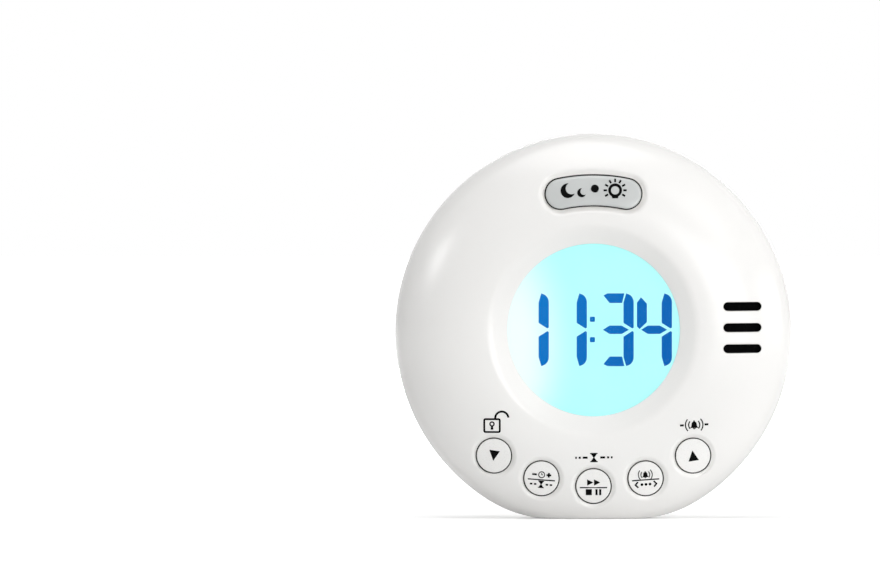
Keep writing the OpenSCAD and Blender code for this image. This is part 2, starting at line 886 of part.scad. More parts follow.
module switch_housings() {
    color([0.12, 0.12, 0.13]) face() {
        for (i = [-2 : 2]) at_key(i) switch_housing();
        at_snooze() switch_housing();
    }
}

module switch_covers() {
    color([0.78, 0.78, 0.8]) face() {
        for (i = [-2 : 2]) at_key(i) switch_cover();
        at_snooze() switch_cover();
    }
}

module key_plunger(i) {
    color([0.85, 0.2, 0.15]) face() at_key(i) plunger();
}

module snooze_plunger() {
    color([0.85, 0.2, 0.15]) face() at_snooze() plunger();
}

// Round button whose top follows the casing, with two ears that keep it in
module round_button(i) {
    color([0.97, 0.97, 0.96]) face() {
        intersection() {
            at_key(i) disc(key_r, key_z, half + 1);
            front_body(-key_proud);
        }
        at_key(i) intersection() {
            block(-key_r - key_ear_out, key_r + key_ear_out, -key_ear_w / 2, key_ear_w / 2,
                  key_z, key_z + key_ear_t);
            disc(key_r + key_ear_out, key_z - 1, key_z + key_ear_t + 1);
        }
    }
}

module snooze_button() {
    rib_r = 2;
    ear_x = (snooze_arc_r) * sin(snooze_half_angle) + snooze_half_w;
    ear_y = snooze_arc_y + snooze_arc_r * cos(snooze_half_angle);
    color([0.72, 0.72, 0.72]) face() {
        intersection() {
            arc_slot(snooze_half_w, snooze_body_z, half + 1);
            front_body(-key_proud);
        }
        at_snooze() disc(rib_r, key_z, snooze_body_z + 0.5);
        for (side = [-1, 1])
            block(side * ear_x - 1, side * ear_x + 1, ear_y - 1.5, ear_y + 1.5,
                  snooze_body_z, snooze_body_z + key_ear_t);
    }
}

//---------------------------------------------------------------- speaker

module speaker_cloth() {
    color([0.1, 0.1, 0.1]) face() at_speaker() disc(speaker_r, speaker_front_z, speaker_seat_z);
}

// Inside radius of the basket's tapering wall, at a depth below its rim
basket_skin = 0.3;
basket_rim_w = 1.2;
function basket_in(depth) =
    let(top = speaker_r - basket_rim_w, bottom = basket_r - basket_skin)
    top + (bottom - top) * depth / (basket_h - basket_t);

// Pressed basket: a flat rim, a tapering wall and a bottom that the yoke closes
module speaker_frame() {
    back_z = speaker_front_z - basket_h;
    color([0.6, 0.6, 0.62]) face() at_speaker() rotate_extrude() polygon([
        [basket_in(0), speaker_front_z], [speaker_r, speaker_front_z],
        [speaker_r, speaker_front_z - basket_t],
        [basket_in(0) + basket_skin, speaker_front_z - basket_t],
        [basket_r, back_z], [0, back_z], [0, back_z + basket_t],
        [basket_in(basket_h - basket_t), back_z + basket_t]
    ]);
}

module speaker_magnet() {
    back_z = speaker_front_z - basket_h;
    color([0.25, 0.25, 0.27]) face() at_speaker() {
        disc(magnet_r, back_z - magnet_h, back_z);
        disc(magnet_r + 0.4, back_z - magnet_h - yoke_t, back_z - magnet_h);
    }
}

module speaker_cone() {
    cone_t = 0.3;
    cone_depth = 0.6;
    dome = 3;
    z_edge = speaker_front_z - cone_depth;
    color([0.2, 0.2, 0.2]) face() at_speaker() rotate_extrude() polygon([
        [basket_in(cone_depth), z_edge], [dome, z_edge - 1.2],
        [dome / 2, z_edge - 0.7], [0, z_edge - 0.55],
        [0, z_edge - 0.55 - cone_t], [dome / 2, z_edge - 0.7 - cone_t],
        [dome, z_edge - 1.2 - cone_t], [basket_in(cone_depth + cone_t), z_edge - cone_t]
    ]);
}

//---------------------------------------------------------------- vibration motor

// Round can with two flats, seen along the axis: x is up the casing, y is out of its front
module can_outline(inset) {
    intersection() {
        circle(r = can_r - inset);
        square([2 * can_r, can_flat - 2 * inset], center = true);
    }
}

module at_motor(x) {
    along_x(x, motor_y, motor_z) children();
}

module motor_can() {
    color([0.75, 0.75, 0.76]) face() at_motor(can_x) difference() {
        union() {
            linear_extrude(can_l) can_outline(0);
            disc(nose_r, can_l, can_l + nose_l);
        }
        translate([0, 0, -1]) linear_extrude(can_l - can_wall * 2 + 1) can_outline(can_wall);
        disc(shaft_r + bearing_gap, can_l - 3, can_l + nose_l + 1);
    }
}

module motor_end_cap() {
    color([0.12, 0.12, 0.12]) face() at_motor(can_x - cap_t) difference() {
        union() {
            linear_extrude(cap_t) can_outline(0.2);
            linear_extrude(cap_t + 1) can_outline(can_wall + 0.1);
        }
        disc(shaft_r + bearing_gap, 0.6, cap_t + 2);
    }
}

module motor_magnets() {
    color([0.25, 0.25, 0.27]) face() at_motor(can_x + cap_t + 1) intersection() {
        ring(can_r - can_wall - 0.05, can_r - can_wall - magnet_t, 0, can_l - 5);
        for (side = [-1, 1])
            translate([side * can_r, 0, 0]) block(-can_r / 2, can_r / 2, -3.6, 3.6, 0, can_l);
    }
}

// Three-pole armature
module motor_armature() {
    color([0.7, 0.4, 0.2]) face() at_motor(can_x + 3) difference() {
        disc(armature_r, 0, armature_l);
        disc(shaft_r, -1, armature_l + 1);
        for (a = [30, 150, 270]) rotate(a) {
            block(armature_r * 0.5, far, -0.5, 0.5, -1, armature_l + 1);
            translate([armature_r * 0.55, 0, 0]) disc(1.1, -1, armature_l + 1);
        }
    }
}

module motor_shaft() {
    color([0.8, 0.8, 0.82]) face() at_motor(can_x - cap_t + 0.8)
        disc(shaft_r, 0, shaft_end_x - can_x + cap_t - 0.8);
}

// Half-round weight pressed on the shaft, resting with its heavy side down
module eccentric_weight() {
    color([0.75, 0.62, 0.3]) face() at_motor(weight_x) difference() {
        union() {
            intersection() {
                disc(weight_r, 0, weight_l);
                block(-far, 0, -far, far, -1, weight_l + 1);
            }
            disc(hub_r, 0, weight_l);
        }
        disc(shaft_r, -1, weight_l + 1);
    }
}

module motor_pad() {
    color([0.2, 0.2, 0.2]) face()
        block(can_x + 1, can_x + can_l - 1, motor_y - 4.4, motor_y + 4.4,
              motor_z - can_flat / 2 - pad_t, motor_z - can_flat / 2);
}

// Strap over the can, with an ear on each side that is screwed down
module motor_clamp() {
    top = can_flat / 2;
    color([0.78, 0.78, 0.8]) face() at_motor(clamp_x) difference() {
        linear_extrude(clamp_w) difference() {
            union() {
                intersection() {
                    circle(r = can_r + clamp_t);
                    translate([-can_r - 1, clamp_foot])
                        square([2 * can_r + 2, top + clamp_t - clamp_foot]);
                }
                translate([-can_r - clamp_ear, clamp_foot])
                    square([2 * (can_r + clamp_ear), clamp_t]);
            }
            can_outline(-clamp_gap);
        }
        for (side = [-1, 1]) translate([side * clamp_screw_y, 0, clamp_w / 2])
            rotate([-90, 0, 0]) disc(small_screw_d / 2 + screw_gap, 0, far);
    }
}

module clamp_screws() {
    color([0.75, 0.75, 0.77]) face() for (side = [-1, 1])
        translate([clamp_x + clamp_w / 2, motor_y + side * clamp_screw_y,
                   motor_z + clamp_foot + clamp_t])
            mirror([0, 0, 1]) pan_screw(small_screw_d, small_screw_l + clamp_t, small_head_r,
                                        small_head_h);
}

//---------------------------------------------------------------- batteries

cell_nub_r = 1.9;
cell_nub_l = 0.8;
contact_x = bay_l / 2 - plate_t;
// Cell lying along x: side 1 is the upper cell, with its nub to the left
module cell(side) {
    edge = 0.4;
    body_l = cell_l - cell_nub_l;
    nub_x = contact_x - dimple_h;
    face() translate([0, bay_y + side * cell_pitch / 2, cell_z]) mirror([1 - side, 0, 0])
        rotate([0, 90, 0]) translate([0, 0, -nub_x]) rotate_extrude() polygon([
            [0, 0], [cell_nub_r, 0], [cell_nub_r, cell_nub_l], [cell_r - edge, cell_nub_l],
            [cell_r, cell_nub_l + edge], [cell_r, cell_l - edge], [cell_r - edge, cell_l],
            [0, cell_l]
        ]);
}

module battery_1() {
    color([0.2, 0.3, 0.55]) cell(1);
}

module battery_2() {
    color([0.2, 0.3, 0.55]) cell(-1);
}

plate_reach = 4;
module contact_link() {
    reach = cell_pitch / 2 + plate_reach;
    color([0.8, 0.8, 0.78]) face() {
        block(contact_x, contact_x + plate_t, bay_y - reach, bay_y + reach,
              cell_z - plate_reach, cell_z + plate_reach);
        along_x(0, bay_y - cell_pitch / 2, cell_z)
            rotate_extrude() polygon([[0, contact_x - dimple_h], [cell_nub_r, contact_x - dimple_h],
                                      [cell_nub_r + 0.6, contact_x], [0, contact_x]]);
    }
}

// Contact plate at the left end, with a solder tab through the bay's floor
module end_contact(side, dimple) {
    color([0.8, 0.8, 0.78]) face() translate([0, bay_y + side * cell_pitch / 2, 0]) {
        block(-contact_x - plate_t, -contact_x, -4, 4, cell_z - 4, cell_z + 4);
        block(-contact_x - plate_t, -contact_x, -1, 1, cell_z + 3, bay_z + bay_floor_t + 1);
        if (dimple)
            along_x(0, 0, cell_z)
                rotate_extrude() polygon([[0, -contact_x], [cell_nub_r + 0.6, -contact_x],
                                          [cell_nub_r, dimple_h - contact_x],
                                          [0, dimple_h - contact_x]]);
    }
}

module contact_plus() {
    end_contact(1, true);
}

module contact_minus() {
    end_contact(-1, false);
}

//---------------------------------------------------------------- springs and leads

// Tube of the given radius through a list of points: one ring of `sides` at each point
module tube(points, r, sides) {
    last = len(points) - 1;
    function way(i) = let(a = points[max(i - 1, 0)], b = points[min(i + 1, last)])
        (b - a) / norm(b - a);
    function across(d) = let(e = abs(d[2]) > 0.8 ? [1, 0, 0] : [0, 0, 1], c = cross(d, e))
        c / norm(c);
    rings = [for (i = [0 : last]) let(d = way(i), u = across(d), v = cross(d, u))
        for (k = [0 : sides - 1]) points[i] + r * (cos(k * 360 / sides) * u
                                                   + sin(k * 360 / sides) * v)];
    sides_of = [for (i = [0 : last - 1], k = [0 : sides - 1]) let(n = (k + 1) % sides)
        each [[i * sides + k, i * sides + n, (i + 1) * sides + k],
              [i * sides + n, (i + 1) * sides + n, (i + 1) * sides + k]]];
    ends = [[for (k = [sides - 1 : -1 : 0]) k], [for (k = [0 : sides - 1]) last * sides + k]];
    polyhedron(rings, concat(sides_of, ends));
}

// Conical spring between a contact plate and the flat end of a cell
spring_r0 = 3.6;
spring_r1 = 2.4;
spring_steps = 8;
spring_rise = spring_l - spring_wire;
spring_path = [for (i = [0 : spring_turns * spring_steps])
    let(t = i / (spring_turns * spring_steps), a = i * 360 / spring_steps,
        r = spring_r0 + (spring_r1 - spring_r0) * t)
    [r * cos(a), r * sin(a), spring_wire / 2 + spring_rise * t]];

module battery_springs() {
    color([0.8, 0.8, 0.78]) face() for (side = [-1, 1])
        translate([0, bay_y + side * cell_pitch / 2, cell_z]) mirror([(1 + side) / 2, 0, 0])
            rotate([0, 90, 0]) translate([0, 0, -contact_x])
                tube(spring_path, spring_wire / 2, 6);
}

spring_gap = norm([spring_rise / spring_turns, (spring_r0 - spring_r1) / spring_turns])
    - spring_wire;
echo(least_gap_between_the_turns_of_a_spring = spring_gap);

// Smooth route through hand-chosen points: a Bezier curve over the whole list
function bezier(p, t) = len(p) == 1 ? p[0]
    : bezier([for (i = [0 : len(p) - 2]) p[i] * (1 - t) + p[i + 1] * t], t);
lead_rings = 12;
module lead(points) {
    tube([for (i = [0 : lead_rings]) bezier(points, i / lead_rings)], lead_r, 8);
}

motor_leads_from = can_x - cap_t;
module motor_leads() {
    color([0.8, 0.1, 0.1]) face() for (side = [-1, 1])
        translate([motor_leads_from, motor_y + side * 3, motor_z])
            lead([[0, 0, 0], [-2, 0, 0], [-4, 0, 0], [-7, 0, 1], [-7, 0, 4],
                  [-7, 0, board_back_z - motor_z]]);
}

module speaker_leads() {
    yoke_z = speaker_front_z - basket_h - magnet_h - yoke_t;
    color([0.1, 0.1, 0.1]) face() for (x = [-3.2, -1])
        translate([speaker_x + x, speaker_y + 3.4, yoke_z])
            lead([[0, 0, 0], [0, 0, -1], [0, 0, -2], [-1, 7, -2], [-1, 7, -1],
                  [-1, 7, board_back_z - yoke_z]]);
}

module battery_leads() {
    tab_top = bay_z + bay_floor_t + lead_lift;
    color([0.8, 0.1, 0.1]) face() for (side = [-1, 1])
        translate([-contact_x - plate_t, bay_y + side * cell_pitch / 2, tab_top])
            lead([[0, 0, 0], [-1, 0, 0], [-2, 0, 0], [-4, 0, 0], [-4, 0, 0.5],
                  [-4, 0, board_back_z - tab_top]]);
}

//---------------------------------------------------------------- parts

front_case();
rear_case();
battery_door();
display_window();
window_seal();
lcd_cell();
front_film();
diffuser_film();
light_guide();
reflector_sheet();
lcd_holder();
zebra_strip();
backlight_leds();
main_board();
board_screws();
controller_blob();
crystal();
capacitors();
chip_parts();
switch_housings();
switch_covers();
key_plunger(-2);  // down_plunger
key_plunger(-1);  // set_plunger
key_plunger(0);  // start_plunger
key_plunger(1);  // select_plunger
key_plunger(2);  // up_plunger
snooze_plunger();
round_button(-2);  // down_button
round_button(-1);  // set_button
round_button(0);  // start_button
round_button(1);  // select_button
round_button(2);  // up_button
snooze_button();
speaker_frame();
speaker_magnet();
speaker_cone();
speaker_cloth();
motor_can();
motor_end_cap();
motor_magnets();
motor_armature();
motor_shaft();
eccentric_weight();
motor_clamp();
motor_pad();
clamp_screws();
battery_1();
battery_2();
battery_springs();
contact_plus();
contact_minus();
contact_link();
case_screws();
motor_leads();
speaker_leads();
battery_leads();
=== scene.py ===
"""Looks of a round travel alarm clock with a lit display, six buttons and a vibration motor.

Sizes are millimetres in the casing's face frame: x to the right, y up and z out of the front,
from the centre of the round outline. Meshes are turned into metres, in the model's own frame.
"""

import math

import bmesh
import bpy
import numpy as np
from mathutils import Matrix, Vector, geometry, kdtree


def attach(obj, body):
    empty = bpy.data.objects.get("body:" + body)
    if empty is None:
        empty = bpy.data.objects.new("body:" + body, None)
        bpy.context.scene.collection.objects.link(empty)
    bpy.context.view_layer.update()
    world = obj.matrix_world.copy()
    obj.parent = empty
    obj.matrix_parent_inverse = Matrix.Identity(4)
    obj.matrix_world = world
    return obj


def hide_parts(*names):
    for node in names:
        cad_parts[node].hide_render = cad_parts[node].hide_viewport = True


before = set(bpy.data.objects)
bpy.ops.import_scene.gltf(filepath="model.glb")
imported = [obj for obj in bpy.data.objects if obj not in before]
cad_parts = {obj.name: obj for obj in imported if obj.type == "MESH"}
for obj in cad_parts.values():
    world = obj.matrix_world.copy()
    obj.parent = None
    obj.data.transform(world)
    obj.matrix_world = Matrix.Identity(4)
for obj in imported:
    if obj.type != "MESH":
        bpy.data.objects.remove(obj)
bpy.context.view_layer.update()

MM = 0.001

# ---------------------------------------------------------------- sizes, in millimetres
CASE_R = 49.0
HALF = 15.0
STAND_H = 46.0
CORNER_R = 30.0
RIM_R = 10.5
RIM_X = CASE_R - RIM_R
REAR_FLAT_R = 28.0
SKIN_EDGE_R = 45.0  # where the front and rear sheets hand over to the rim
BASE_FILLET = 0.6
SEAM_DEPTH = 0.35
SEAM_HALF_W = 0.25
SEAM_ROUND = 0.08

DISH_Y = 0.8
DISH_R = 25.6
DISH_DEPTH = 2.2
DISH_EDGE_R = 4.5
WINDOW_R = 21.3
DISH_ANGLE = math.atan2(DISH_DEPTH, DISH_R - WINDOW_R)
DISH_BLEND = DISH_EDGE_R * math.tan(DISH_ANGLE / 2)
DISH_START, DISH_END = DISH_R - DISH_BLEND * math.cos(DISH_ANGLE), DISH_R + DISH_BLEND
DISH_Z = HALF - DISH_DEPTH
FRONT_FLAT_R = DISH_R + DISH_BLEND + DISH_Y + 0.1
LIP_Z = 11.6
FILM_Z = 10.4

KEY_R = 4.2
KEY_GAP = 0.22
OPENING_WIDER = 0.05  # the openings round the buttons are drawn this much wider in radius
KEY_SUNK = 0.05  # a round button's top lies this far below the casing's surface
KEY_ARC_R = 43.9
KEY_ARC_Y = 6.2
KEY_PITCH = math.radians(17)
KEY_TURN = math.radians(4)  # each print in the row turns this much further than the one before
KEY_BORE_Z = 8.5
KEYS = {"down": -2, "set": -1, "start": 0, "select": 1, "up": 2}
RECESS_DEPTH, RECESS_W = 0.8, 1.3

SNOOZE_ARC_R = 39.4
SNOOZE_ARC_Y = -4.2
SNOOZE_HALF_ANGLE = math.radians(11.9)
SNOOZE_HALF_W = 3.65
SNOOZE_BORE_Z = 9.0
SNOOZE_SUNK, SNOOZE_CROWN = 0.1, 0.3
POCKET_DEPTH, POCKET_W = 1.35, 1.6

SPEAKER_X = 34.6
SLOT_X = 36.7
SLOT_Y = 1.4
SLOT_L = 9.4
SLOT_W = 2.2
SLOT_PITCH = 5.2
SLOT_FLOOR_Z = 7.2
CLOTH_DEPTH = 1.3

DOOR_Y = -6.0
DOOR_L = 53.4
DOOR_W = 24.3
DOOR_FOOT = DOOR_Y - DOOR_W / 2
DOOR_CORNER_R = 0.4
DOOR_GAP = 0.2
DOOR_SUNK = 0.02
NOTCH_R, NOTCH_DEPTH = 5.0, 1.1
NOTCH_Y = DOOR_FOOT - DOOR_GAP
GRIP_ROWS = [DOOR_FOOT + 2.35 + 1.4 * i for i in range(4)]
GRIP_HALF_L, GRIP_HALF_W, GRIP_DEPTH = 6.0, 0.5, 0.4

SCREW_R = 38.2
SCREW_PLACES = [
    (SCREW_R * math.cos(a), SCREW_R * math.sin(a)) for a in np.radians((43, 137, -21.5, 201.5))
]
SCREW_HEAD_R = 2.2
SCREW_HEAD_H = 1.4
SCREW_HEAD_Z = -7.0
COUNTERBORE_R = 2.4

CELL_R = 5.25
CELL_L = 44.5
CELL_Z = -7.85
CELL_PITCH = 11.2
SPRING_L = 5.5
DIMPLE_H = 0.6
PLATE_T = 0.4
CONTACT_X = (CELL_L + SPRING_L + DIMPLE_H + 2 * PLATE_T) / 2 - PLATE_T  # a plate's inner face

SKIN_LIFT = 0.02  # a modelled wall stands this far in front of the solid's own wall
SKIN_SUNK = 0.45  # the solid's faces down to this depth give way to modelled ones
RIM_STEPS = 480
ROUND = 240  # steps round a large circle
INK_LIFT = 0.05

# Photo: the clock's centre in the 880x585 picture, and its scale
PHOTO_W, PHOTO_H = 880, 585
CENTRE_PX = (592.9, 333.0)
MM_PER_PX = 0.2466


def from_px(x, y):
    """Face-frame place of a pixel of the photo."""
    return ((x - CENTRE_PX[0]) * MM_PER_PX, (CENTRE_PX[1] - y) * MM_PER_PX)


def key_place(name):
    turn = KEYS[name] * KEY_PITCH
    return (KEY_ARC_R * math.sin(turn), KEY_ARC_Y - KEY_ARC_R * math.cos(turn))


# ---------------------------------------------------------------- materials


def srgb(code):
    """Linear colour of an sRGB hex code such as "F4F2EE"."""
    parts = [int(code[i : i + 2], 16) / 255 for i in (0, 2, 4)]
    return tuple(p / 12.92 if p <= 0.04045 else ((p + 0.055) / 1.055) ** 2.4 for p in parts) + (1,)


def add(tree, kind, inputs=(), **settings):
    """Adds a node with its settings. An input is a value, or the socket that feeds it."""
    made = tree.nodes.new(kind)
    for key, value in settings.items():
        setattr(made, key, value)
    for socket, value in dict(inputs).items():
        if isinstance(value, bpy.types.NodeSocket):
            tree.links.new(value, made.inputs[socket])
        else:
            made.inputs[socket].default_value = value
    return made


def located(tree):
    """The point's place in its own piece, so that a pattern moves with the piece."""
    return add(tree, "ShaderNodeTexCoord").outputs["Object"]


def noise(tree, place, size_mm, detail):
    inputs = {"Vector": place, "Scale": 1 / (size_mm * MM), "Detail": detail}
    return add(tree, "ShaderNodeTexNoise", inputs).outputs["Fac"]


def waves(tree, place, pitch_mm, direction):
    inputs = {"Vector": place, "Scale": math.pi / (10 * pitch_mm * MM)}
    return add(tree, "ShaderNodeTexWave", inputs, bands_direction=direction).outputs["Fac"]


def mapped(tree, value, inputs, **settings):
    return add(tree, "ShaderNodeMapRange", {"Value": value, **inputs}, **settings).outputs["Result"]


def maths(tree, operation, *values):
    inputs = dict(enumerate(values))
    return add(tree, "ShaderNodeMath", inputs, operation=operation).outputs["Value"]


def mixed(tree, share, first, second, **settings):
    """Colour between two. A Mix node's colours are its inputs 6 and 7, and its output 2."""
    inputs = {0: share, 6: first, 7: srgb(second)}
    return add(tree, "ShaderNodeMix", inputs, data_type="RGBA", **settings).outputs[2]


def relief(tree, height, depth_mm):
    inputs = {"Height": height, "Distance": depth_mm * MM}
    return add(tree, "ShaderNodeBump", inputs).outputs["Normal"]


def finish_material(name, **sockets):
    """A material with one Principled shader, its tree and its shader."""
    made = bpy.data.materials.new(name)
    made.use_nodes = True
    tree = made.node_tree
    shader = tree.nodes["Principled BSDF"]
    for socket, value in sockets.items():
        shader.inputs[socket.replace("_", " ")].default_value = value
    return made, tree, shader


def feed(tree, shader, **sockets):
    """Links what feeds the shader's sockets."""
    for socket, value in sockets.items():
        tree.links.new(value, shader.inputs[socket.replace("_", " ")])


def textured(name, colour, other, patch_mm, roughness, spread, grain_mm, bump_mm, **sockets):
    """A finish that wanders between two colours over patches, with a fine grain in its
    roughness and relief."""
    made, tree, shader = finish_material(name, **sockets)
    place = located(tree)
    grain = noise(tree, place, grain_mm, 3.0)
    feed(
        tree,
        shader,
        Base_Color=mixed(tree, noise(tree, place, patch_mm, 2.0), srgb(colour), other),
        Roughness=mapped(tree, grain, {"To Min": roughness - spread, "To Max": roughness + spread}),
        Normal=relief(tree, grain, bump_mm),
    )
    return made


# Each finish: its name and two colours, the size of its patches in mm, its roughness and how
# far that wanders, the size and height of its grain in mm, and the shader's own values
FINISHES = {
    # Injection-moulded white ABS with a fine spark-eroded texture: satin, soft highlights
    "casing": ("ABS_white_moulded", "F3F2F0", "EFEEEC", 30, 0.25, 0.03, 0.35, 0.0012,
               dict(IOR=1.5, Specular_IOR_Level=0.42)),
    # The buttons are moulded of the same ABS, polished a little smoother by the tool
    "white_key": ("ABS_white_button", "F4F3F1", "F0EFED", 12, 0.28, 0.03, 0.3, 0.0015,
                  dict(IOR=1.54)),
    # Cool grey ABS for the snooze button
    "grey_key": ("ABS_grey_button", "C7C9C8", "C1C4C3", 9, 0.3, 0.03, 0.3, 0.0015, dict(IOR=1.54)),
    # Pad-printed black ink: matt, slightly uneven where the pad lifted
    "ink": ("pad_print_ink_black", "020202", "050505", 1.5, 0.7, 0.08, 0.2, 0.001,
            dict(Specular_IOR_Level=0.05)),
    # Black EPDM foam: deep matt black with an open face. The same black makes the rings in the
    # button gaps, which are painted shade
    "seal": ("adhesive_foam_black", "060606", "0C0C0C", 2, 0.85, 0.1, 0.25, 0.01,
             dict(Specular_IOR_Level=0.1)),
    # Soda-lime glass cell with a faint green edge
    "lcd_glass": ("soda_lime_glass", "DDEFEA", "D4E9E3", 15, 0.06, 0.02, 2.0, 0.0002,
                  dict(Transmission_Weight=0.85, IOR=1.52)),
    # Frosted PET films and acrylic light guide
    "diffuser": ("acrylic_light_guide", "D9FBFA", "CFF6F5", 10, 0.25, 0.05, 0.5, 0.002,
                 dict(Transmission_Weight=0.6, IOR=1.49)),
    "white_film": ("polyester_film_white", "F5F6F6", "ECEEEE", 12, 0.45, 0.05, 0.4, 0.001, {}),
    "holder": ("ABS_natural_moulded", "E6E1D3", "DFDACB", 10, 0.45, 0.05, 0.3, 0.003, {}),
    "led": ("led_package_phosphor", "E9E4B8", "F3F0DC", 2, 0.35, 0.05, 0.2, 0.001, {}),
    "epoxy": ("epoxy_glob_black", "0B0B0C", "171718", 3, 0.22, 0.05, 0.6, 0.004, {}),
    "capacitor": ("aluminium_can_sleeved", "1E2A55", "243264", 4, 0.3, 0.05, 0.3, 0.002, {}),
    "chip": ("moulded_epoxy_package", "161617", "1E1E20", 1.5, 0.5, 0.08, 0.1, 0.003, {}),
    "black_plastic": ("nylon_black_moulded", "121213", "1A1A1B", 5, 0.5, 0.06, 0.25, 0.004, {}),
    "plunger": ("acetal_red_moulded", "B3241B", "A61E17", 3, 0.35, 0.05, 0.2, 0.002, {}),
    # Zinc-plated steel: bright, faintly blue, with fine drawing marks
    "steel": ("zinc_plated_steel", "C9CCD0", "B9BDC2", 3, 0.28, 0.08, 0.15, 0.003,
              dict(Metallic=1.0)),
    "contact": ("nickel_plated_spring_steel", "D6D3CB", "C6C2B8", 3, 0.22, 0.06, 0.15, 0.002,
                dict(Metallic=1.0)),
    "can": ("nickel_plated_can", "C4C5C8", "B7B9BD", 4, 0.25, 0.06, 0.2, 0.002, dict(Metallic=1.0)),
    "magnet": ("sintered_ferrite", "2A2A2D", "363639", 1.5, 0.6, 0.08, 0.15, 0.01, {}),
    "cone": ("pressed_paper_cone", "26262A", "333337", 1.0, 0.85, 0.08, 0.3, 0.02, {}),
    "brass": ("sintered_brass_weight", "B79A55", "A98B48", 2, 0.42, 0.08, 0.12, 0.008,
              dict(Metallic=1.0)),
    "foam": ("pvc_foam_black", "18181A", "222224", 1.2, 0.9, 0.06, 0.3, 0.03, {}),
    "red_lead": ("pvc_insulation_red", "B4201C", "A51C18", 2, 0.4, 0.05, 0.3, 0.002, {}),
    "black_lead": ("pvc_insulation_black", "151516", "1F1F20", 2, 0.4, 0.05, 0.3, 0.002, {}),
}


def make_materials():
    """Every finish on the clock, by the name that the pieces use."""
    m = {name: textured(*values, **sockets) for name, (*values, sockets) in FINISHES.items()}
    m["segments"] = segment_material()
    m["front_film"] = lit_film_material()
    m["window"] = window_material()
    m["cloth"] = woven_material()
    m["elastomer"] = banded_material()
    m["board"] = board_material()
    m["armature"] = wound_material()
    m["cell"] = cell_material()
    return m


def lit_film_material():
    """Front polariser over a lit cell, glowing cyan. At the display's left end a painted reflection
    makes it near white, and it settles to an even cyan towards the right."""
    made, tree, shader = finish_material(
        "lit_polariser_film",
        Roughness=0.6,
        Specular_IOR_Level=0.0,
        Emission_Strength=0.98,
        Base_Color=srgb("3B4E4E"),
    )
    place = located(tree)
    # Middle of the painted reflection on the film, and the squash of its spread
    reflection_x, reflection_z, squash = -27.0 * MM, (STAND_H + DISH_Y - 4.0) * MM, 0.62
    away = add(
        tree,
        "ShaderNodeMapping",
        {"Vector": place, "Location": (-reflection_x, 0, -reflection_z * squash), "Scale": (1, 0, squash)},
        vector_type="POINT",
    )
    distance = add(tree, "ShaderNodeVectorMath", {0: away.outputs["Vector"]}, operation="LENGTH")
    reflection_fade = mapped(
        tree,
        distance.outputs["Value"],
        {"From Min": 7 * MM, "From Max": 25 * MM},
        interpolation_type="SMOOTHERSTEP",
    )
    # Painted reflection: near white at its middle, an even cyan further off
    glow = mixed(tree, reflection_fade, srgb("FBFEFD"), "B9FEFD")
    tint = mixed(tree, noise(tree, place, 14, 1.0), glow, "F3FCFC", blend_type="MULTIPLY")
    feed(tree, shader, Emission_Color=tint)
    return made


def segment_material():
    """Dyed liquid crystal that holds back the light behind it: deep blue, and painted lighter
    towards the upper left, where the film behind it carries a painted reflection."""
    made, tree, shader = finish_material(
        "liquid_crystal_segment",
        Roughness=0.6,
        Specular_IOR_Level=0.0,
        Emission_Strength=0.95,
        Base_Color=srgb("021428"),
    )
    parts = add(tree, "ShaderNodeSeparateXYZ", {0: located(tree)})
    # Painted reflection: the segments are lighter towards the upper left
    towards_painted_reflection = maths(tree, "MULTIPLY_ADD", parts.outputs["Z"], -0.5, parts.outputs["X"])
    share = mapped(tree, towards_painted_reflection, {"From Min": -44 * MM, "From Max": 2 * MM})
    feed(tree, shader, Emission_Color=mixed(tree, share, srgb("147ACC"), "0F60B4"))
    return made


def window_material():
    """Clear acrylic window with a coating that keeps reflections off the display."""
    made, tree, shader = finish_material(
        "acrylic_window_coated", Transmission_Weight=1.0, IOR=1.08, Base_Color=srgb("FCFFFF")
    )
    wear = noise(tree, located(tree), 3, 4.0)
    feed(tree, shader, Roughness=mapped(tree, wear, {"To Min": 0.0, "To Max": 0.03}))
    return made


def woven_material():
    """Plain weave of black threads: two sets at right angles, each one thread apart."""
    made, tree, shader = finish_material(
        "speaker_cloth_black_woven", Roughness=0.95, Specular_IOR_Level=0.03
    )
    place = located(tree)
    weave = maths(tree, "MAXIMUM", *(waves(tree, place, 0.35, way) for way in ("X", "Z")))
    colour = mixed(tree, weave, srgb("030303"), "080809")
    feed(tree, shader, Base_Color=colour, Normal=relief(tree, weave, 0.1))
    return made


def banded_material():
    """Thin layers of conducting and clear silicone across the strip."""
    made, tree, shader = finish_material("zebra_elastomer_layered", Roughness=0.6)
    layers = waves(tree, located(tree), 0.5, "X")
    feed(tree, shader, Base_Color=mixed(tree, layers, srgb("3A4148"), "9AA1A6"))
    return made


def board_material():
    """Green solder mask on glass-fibre board, with the faint pattern of tracks below it."""
    made, tree, shader = finish_material("fr4_solder_mask_green", Roughness=0.3)
    cells = add(
        tree,
        "ShaderNodeTexVoronoi",
        {"Vector": located(tree), "Scale": 1 / (2.4 * MM)},
        feature="F1",
        distance="MANHATTAN",
    )
    tracks = maths(tree, "GREATER_THAN", cells.outputs["Distance"], 0.55)
    colour = mixed(tree, tracks, srgb("1B5A36"), "2A7446")
    feed(tree, shader, Base_Color=colour, Normal=relief(tree, tracks, 0.03))
    return made


def wound_material():
    """Enamelled copper windings along the armature."""
    made, tree, shader = finish_material("enamelled_copper_winding", Metallic=1.0, Roughness=0.35)
    turns = waves(tree, located(tree), 0.3, "X")
    colour = mixed(tree, turns, srgb("8A4A1E"), "C9793A")
    feed(tree, shader, Base_Color=colour, Normal=relief(tree, turns, 0.1))
    return made


def stepped(tree, value, *colours):
    """Colours along a cell: its nub end, its copper band, its body and its flat end."""
    ramp = add(tree, "ShaderNodeValToRGB", {"Fac": value})
    ramp.color_ramp.interpolation = "CONSTANT"
    bands = ramp.color_ramp.elements
    for i, (start, colour) in enumerate(zip((0.0, 0.045, 0.26, 0.985), colours)):
        band = bands[i] if i < 2 else bands.new(start)
        band.position, band.color = start, colour
    return ramp.outputs["Color"]


